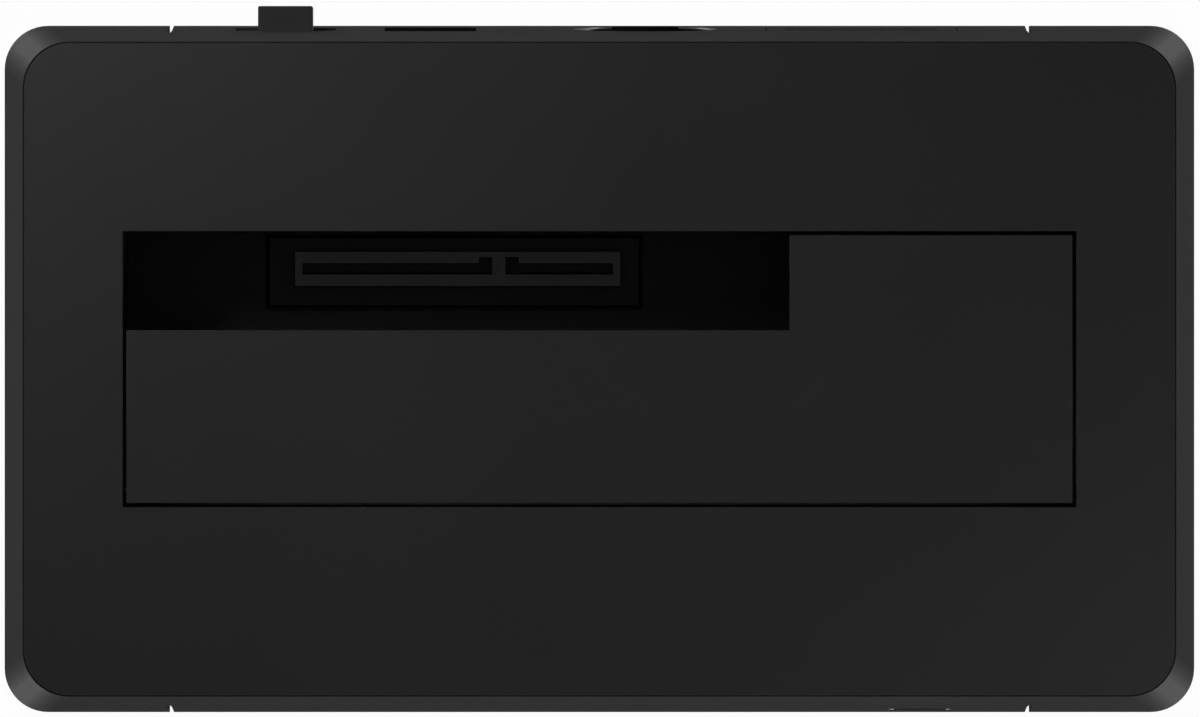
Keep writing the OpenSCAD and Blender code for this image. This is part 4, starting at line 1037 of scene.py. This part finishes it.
class DOCK_OT_circuit_board(Undoable, bpy.types.Operator):
    """Circuit board with its chips, coils, capacitors, crystal and small parts"""

    bl_idname = "dock.circuit_board"
    bl_label = "Circuit board"

    def execute(self, context):
        can_round = 0.0003
        add_piece("circuit_board", solid_of("main_board"), "board", "main_board")
        self.chips()
        self.coils()
        self.cans()
        rounded_copy("clock_can", "crystal", "nickel", above(box_of("crystal")[1].z), can_round)
        self.bits()
        return {"FINISHED"}

    def chips(self):
        """Resin bodies with tinned leads."""
        # the bridge's half width and how far past it its leads start (mm)
        bridge_half, past = 5.0, 0.02
        # the leads of the other chips are small faces (m2) that don't lie high (mm)
        lead_area, lead_top = 0.7e-6, 0.1
        top_round = 0.00012
        for name, node in (("bridge", "bridge_chip"), ("converters", "small_chips")):
            bm = solid_of(node)
            round_edges(bm, sharp_edges(bm, above(box_of(node)[1].z)), top_round, segments=2)
            for face in bm.faces:
                spot = (face.calc_center_median() - middle_of(node)) / MM
                if name == "bridge":
                    lead = max(abs(spot.x), abs(spot.y)) - bridge_half > past
                else:
                    lead = face.calc_area() < lead_area and spot.z < lead_top
                face.material_index = 1 if lead else 0
            add_piece(name, bm, "chip_resin", node, finishes=["chip_resin", "tin"])

    def coils(self):
        """Two wound coils between ferrite plates."""
        # the plates, the radius of the winding and the wire (mm), and the plates' corners (m)
        plate, core, wire, corner_round = 0.7, 2.3, 0.27, 0.001
        arc_steps = 6
        low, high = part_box("power_inductors")
        width, height = high.y - low.y, (high.z - low.z) / MM
        turns = int((height - 2 * plate) / wire)
        pitch = (height - 2 * plate) / turns
        # the winding's outline is a row of half rounds
        arcs = [math.pi * k / arc_steps for k in range(arc_steps + 1)]
        winding = [
            (core - wire / 2 + wire / 2 * math.sin(a), plate + pitch * (i + (1 - math.cos(a)) / 2))
            for i in range(turns) for a in arcs
        ]
        profile = [(0, plate), *winding, (0, height - plate)]
        bm = bmesh.new()
        for x in (low.x, high.x - width):
            for z in (low.z, high.z - plate * MM):
                end = (x + width, high.y, z + plate * MM)
                block(bm, (x, low.y, z), end, corner_round, 5, upright)
            lathe(bm, profile, Vector((x + width / 2, (low.y + high.y) / 2, low.z)), "Z", 32, material=1)
        add_piece("coils", bm, "ferrite", "power_inductors", finishes=["ferrite", "enamelled_wire"])

    def cans(self):
        """Three capacitors on moulded feet, each with a dark sector on its top."""
        # the foot's half width, height and chamfer, and the radii of the can and of its groove (mm)
        foot, foot_h, chamfer, r, groove = 3.3, 0.9, 1.2, 3.15, 2.85
        # places as shares of the board's half width, and where the dark sector starts (mm)
        shares, sector, top_depth = (-0.74, -0.57, 0.04), 1.2, 0.3
        low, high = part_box("capacitors")
        board_low, board_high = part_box("main_board")
        height, mid_y = (high.z - low.z) / MM, (low.y + high.y) / 2
        profile = [
            (0, 0.2), (r - 0.25, 0.2), (r, 0.45), (r, 1.6), (groove + 0.05, 1.75), (groove, 1.9),
            (groove + 0.05, 2.05), (r, 2.2), (r, height - 0.55), (r - 0.12, height - 0.25),
            (r - 0.4, height - 0.05), (r - 0.7, height), (r - 0.9, height - 0.12), (0, height - 0.12),
        ]

        def in_front(edge):
            return upright(edge) and edge.verts[0].co.y < mid_y

        bm = bmesh.new()
        for share in shares:
            middle = Vector((share * (board_high.x - board_low.x) / 2, mid_y, low.z))
            reach = Vector((foot, foot, 0)) * MM
            top = middle + reach + Vector((0, 0, foot_h)) * MM
            block(bm, middle - reach, top, chamfer * MM, 1, in_front, material=1)
            for face in lathe(bm, profile, middle, "Z", 48):
                spot = (face.calc_center_median() - middle) / MM
                if spot.z > height - top_depth and spot.x > sector:
                    face.material_index = 1
        kinds = ["can_aluminium", "switch_plastic"]
        add_piece("smoothing_cans", bm, "can_aluminium", "capacitors", finishes=kinds)

    def bits(self):
        """Small resistors and capacitors with tinned ends."""
        # a face of the body between the ends is at least so long, and so wide or so high (m)
        least_long, least_wide, least_high = 0.0009, 0.00065, 0.0004
        bm = solid_of("chip_components")
        for face in bm.faces:
            long, wide, high = (
                max(v.co[axis] for v in face.verts) - min(v.co[axis] for v in face.verts) for axis in range(3)
            )
            body = long > least_long and (wide > least_wide or high > least_high)
            face.material_index = 0 if body else 1
        add_piece("chip_parts", bm, "ceramic", "chip_components", finishes=["ceramic", "tin"])


class DOCK_OT_feet_and_screws(Undoable, bpy.types.Operator):
    """Rubber feet and the screws that hold case, board and tub"""

    bl_idname = "dock.feet_and_screws"
    bl_label = "Feet and screws"

    def execute(self, context):
        self.feet()
        for name, node in (
            ("case_fixings", "case_screws"), ("board_fixings", "board_screws"), ("bay_fixings", "bay_screws"),
        ):
            add_piece(name, solid_of(node), "steel", node)
        return {"FINISHED"}

    def feet(self):
        """Round feet with a hollow below and a rounded edge, as (radius, height) pairs in mm."""
        r = 5.0
        low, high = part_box("rubber_feet")
        height = (high.z - low.z) / MM
        profile = [
            (0, 0.25), (r - 1.6, 0.25), (r - 1.3, 0.0), (r - 0.45, 0.0), (r - 0.18, 0.08), (r - 0.04, 0.25),
            (r, 0.45), (r, height), (0, height),
        ]
        bm = bmesh.new()
        for x in (low.x + r * MM, high.x - r * MM):
            for y in (low.y + r * MM, high.y - r * MM):
                lathe(bm, profile, Vector((x, y, low.z)), "Z", 48)
        add_piece("feet", bm, "foot_rubber", "rubber_feet")


# Stage


class DOCK_OT_stage(Undoable, bpy.types.Operator):
    """Pale floor, white surroundings, soft lamps and the camera above"""

    bl_idname = "dock.stage"
    bl_label = "Stage"

    def execute(self, context):
        settings = context.scene.dock_stage
        self.floor()
        self.surroundings(context.scene)
        self.lamps(settings)
        self.camera(context.scene, settings.lens)
        context.scene.view_settings.view_transform = "Standard"
        return {"FINISHED"}

    def lamps(self, settings):
        """Soft lamps above, and one low lamp at each corner for the walls."""
        # the middle of the walls, and how far out and up the low lamps stand and how large they are
        wall_z, low_x, low_y, low_z, low_size = 0.03, 0.42, 0.36, 0.1, 0.18
        top, body = Vector((0, BODY_Y, TOP_Z * MM)), Vector((0, 0, wall_z))
        self.softbox("key", (-0.11, 0.11, 0.30), top, 0.09, settings.key_power)
        self.softbox("fill", (0.13, -0.12, 0.32), top, 0.1, settings.fill_power)
        self.softbox("overhead", (0, 0, 1.1), top, 0.8, settings.top_power)
        for side_x in (-1, 1):
            for side_y in (-1, 1):
                place = (side_x * low_x, side_y * low_y, low_z)
                self.softbox(f"low_{side_x}_{side_y}", place, body, low_size, settings.low_power)

    def camera(self, scene, lens):
        """The camera above, so far up that the picture is as wide at the top face with any lens."""
        # half the width of the picture there, the camera's place beside the body's middle, and its reach (m)
        half_picture, shift_x, shift_y, reach = 0.06487, 0.000065, 0.001146, 100
        eye = bpy.data.cameras.new("camera")
        eye.sensor_width, eye.lens, eye.clip_end = 36, lens, reach
        camera = show("camera", eye)
        camera.location = (shift_x, BODY_Y + shift_y, TOP_Z * MM + half_picture * lens / (eye.sensor_width / 2))
        scene.camera = camera

    def floor(self):
        reach = 12
        bm = bmesh.new()
        bmesh.ops.create_grid(bm, x_segments=1, y_segments=1, size=reach)
        mesh_of("floor", bm, ["floor"])

    def surroundings(self, scene):
        """White to the camera, and for the object bright at eye level and dim overhead, like a studio."""
        # heights of a direction at which the bright band ends and the dim part starts, and their strengths
        band_top, dim_from, bright, dim, white = 0.03, 0.2, 0.8, 0.016, 0.97
        world = scene.world = bpy.data.worlds.new("studio")
        sky = Shading(world)
        place = sky.node("TexCoord", output="Generated")
        height = sky.node("SeparateXYZ", {}, {"Vector": place}, "Z")
        seen = sky.node("LightPath", output="Is Camera Ray")
        glow = sky.ramp(height, band_top, dim_from, bright, dim).most(seen * white)
        shine = sky.node("Background", {}, {"Color": (1, 1, 1), "Strength": glow})
        sky.node("OutputWorld", {}, {"Surface": shine})

    def softbox(self, name, place, aim, size, power):
        """A square lamp with its place, its aim and its size in metres."""
        lamp = bpy.data.lights.new(name, "AREA")
        lamp.shape, lamp.size, lamp.energy = "SQUARE", size, power
        box = show(name, lamp)
        box.location = place
        box.rotation_euler = (aim - Vector(place)).to_track_quat("-Z", "Y").to_euler()
        box.visible_camera = False


MAKERS = (
    DOCK_OT_case_shells, DOCK_OT_top_plates, DOCK_OT_drive_bay, DOCK_OT_drive_connector, DOCK_OT_flap_hinge,
    DOCK_OT_usb_port, DOCK_OT_power_socket, DOCK_OT_power_button, DOCK_OT_rear_vent, DOCK_OT_light_window,
    DOCK_OT_circuit_board, DOCK_OT_feet_and_screws, DOCK_OT_stage,
)


class DOCK_PT_pieces(bpy.types.Panel):
    """Lists the dock's sizes, colours and pieces in the sidebar"""

    bl_idname = "DOCK_PT_pieces"
    bl_label = "Drive dock"
    bl_space_type = "VIEW_3D"
    bl_region_type = "UI"
    bl_category = "Dock"

    def draw(self, context):
        scene = context.scene
        for group in (scene.dock_sizes, scene.dock_colours, scene.dock_stage):
            box = self.layout.box()
            for name in group.__annotations__:
                box.prop(group, name)
        for maker in MAKERS:
            self.layout.operator(maker.bl_idname)


GROUPS = {"dock_colours": DockColours, "dock_sizes": DockSizes, "dock_stage": DockStage}
CLASSES = (*GROUPS.values(), *MAKERS, DOCK_PT_pieces)


def register():
    for part in CLASSES:
        bpy.utils.register_class(part)
    for name, group in GROUPS.items():
        setattr(bpy.types.Scene, name, bpy.props.PointerProperty(type=group))


def unregister():
    for name in GROUPS:
        delattr(bpy.types.Scene, name)
    for part in reversed(CLASSES):
        bpy.utils.unregister_class(part)


def main():
    register()
    for maker in MAKERS:
        getattr(bpy.ops.dock, maker.bl_idname.split(".")[1])()


if __name__ == "__main__":
    main()
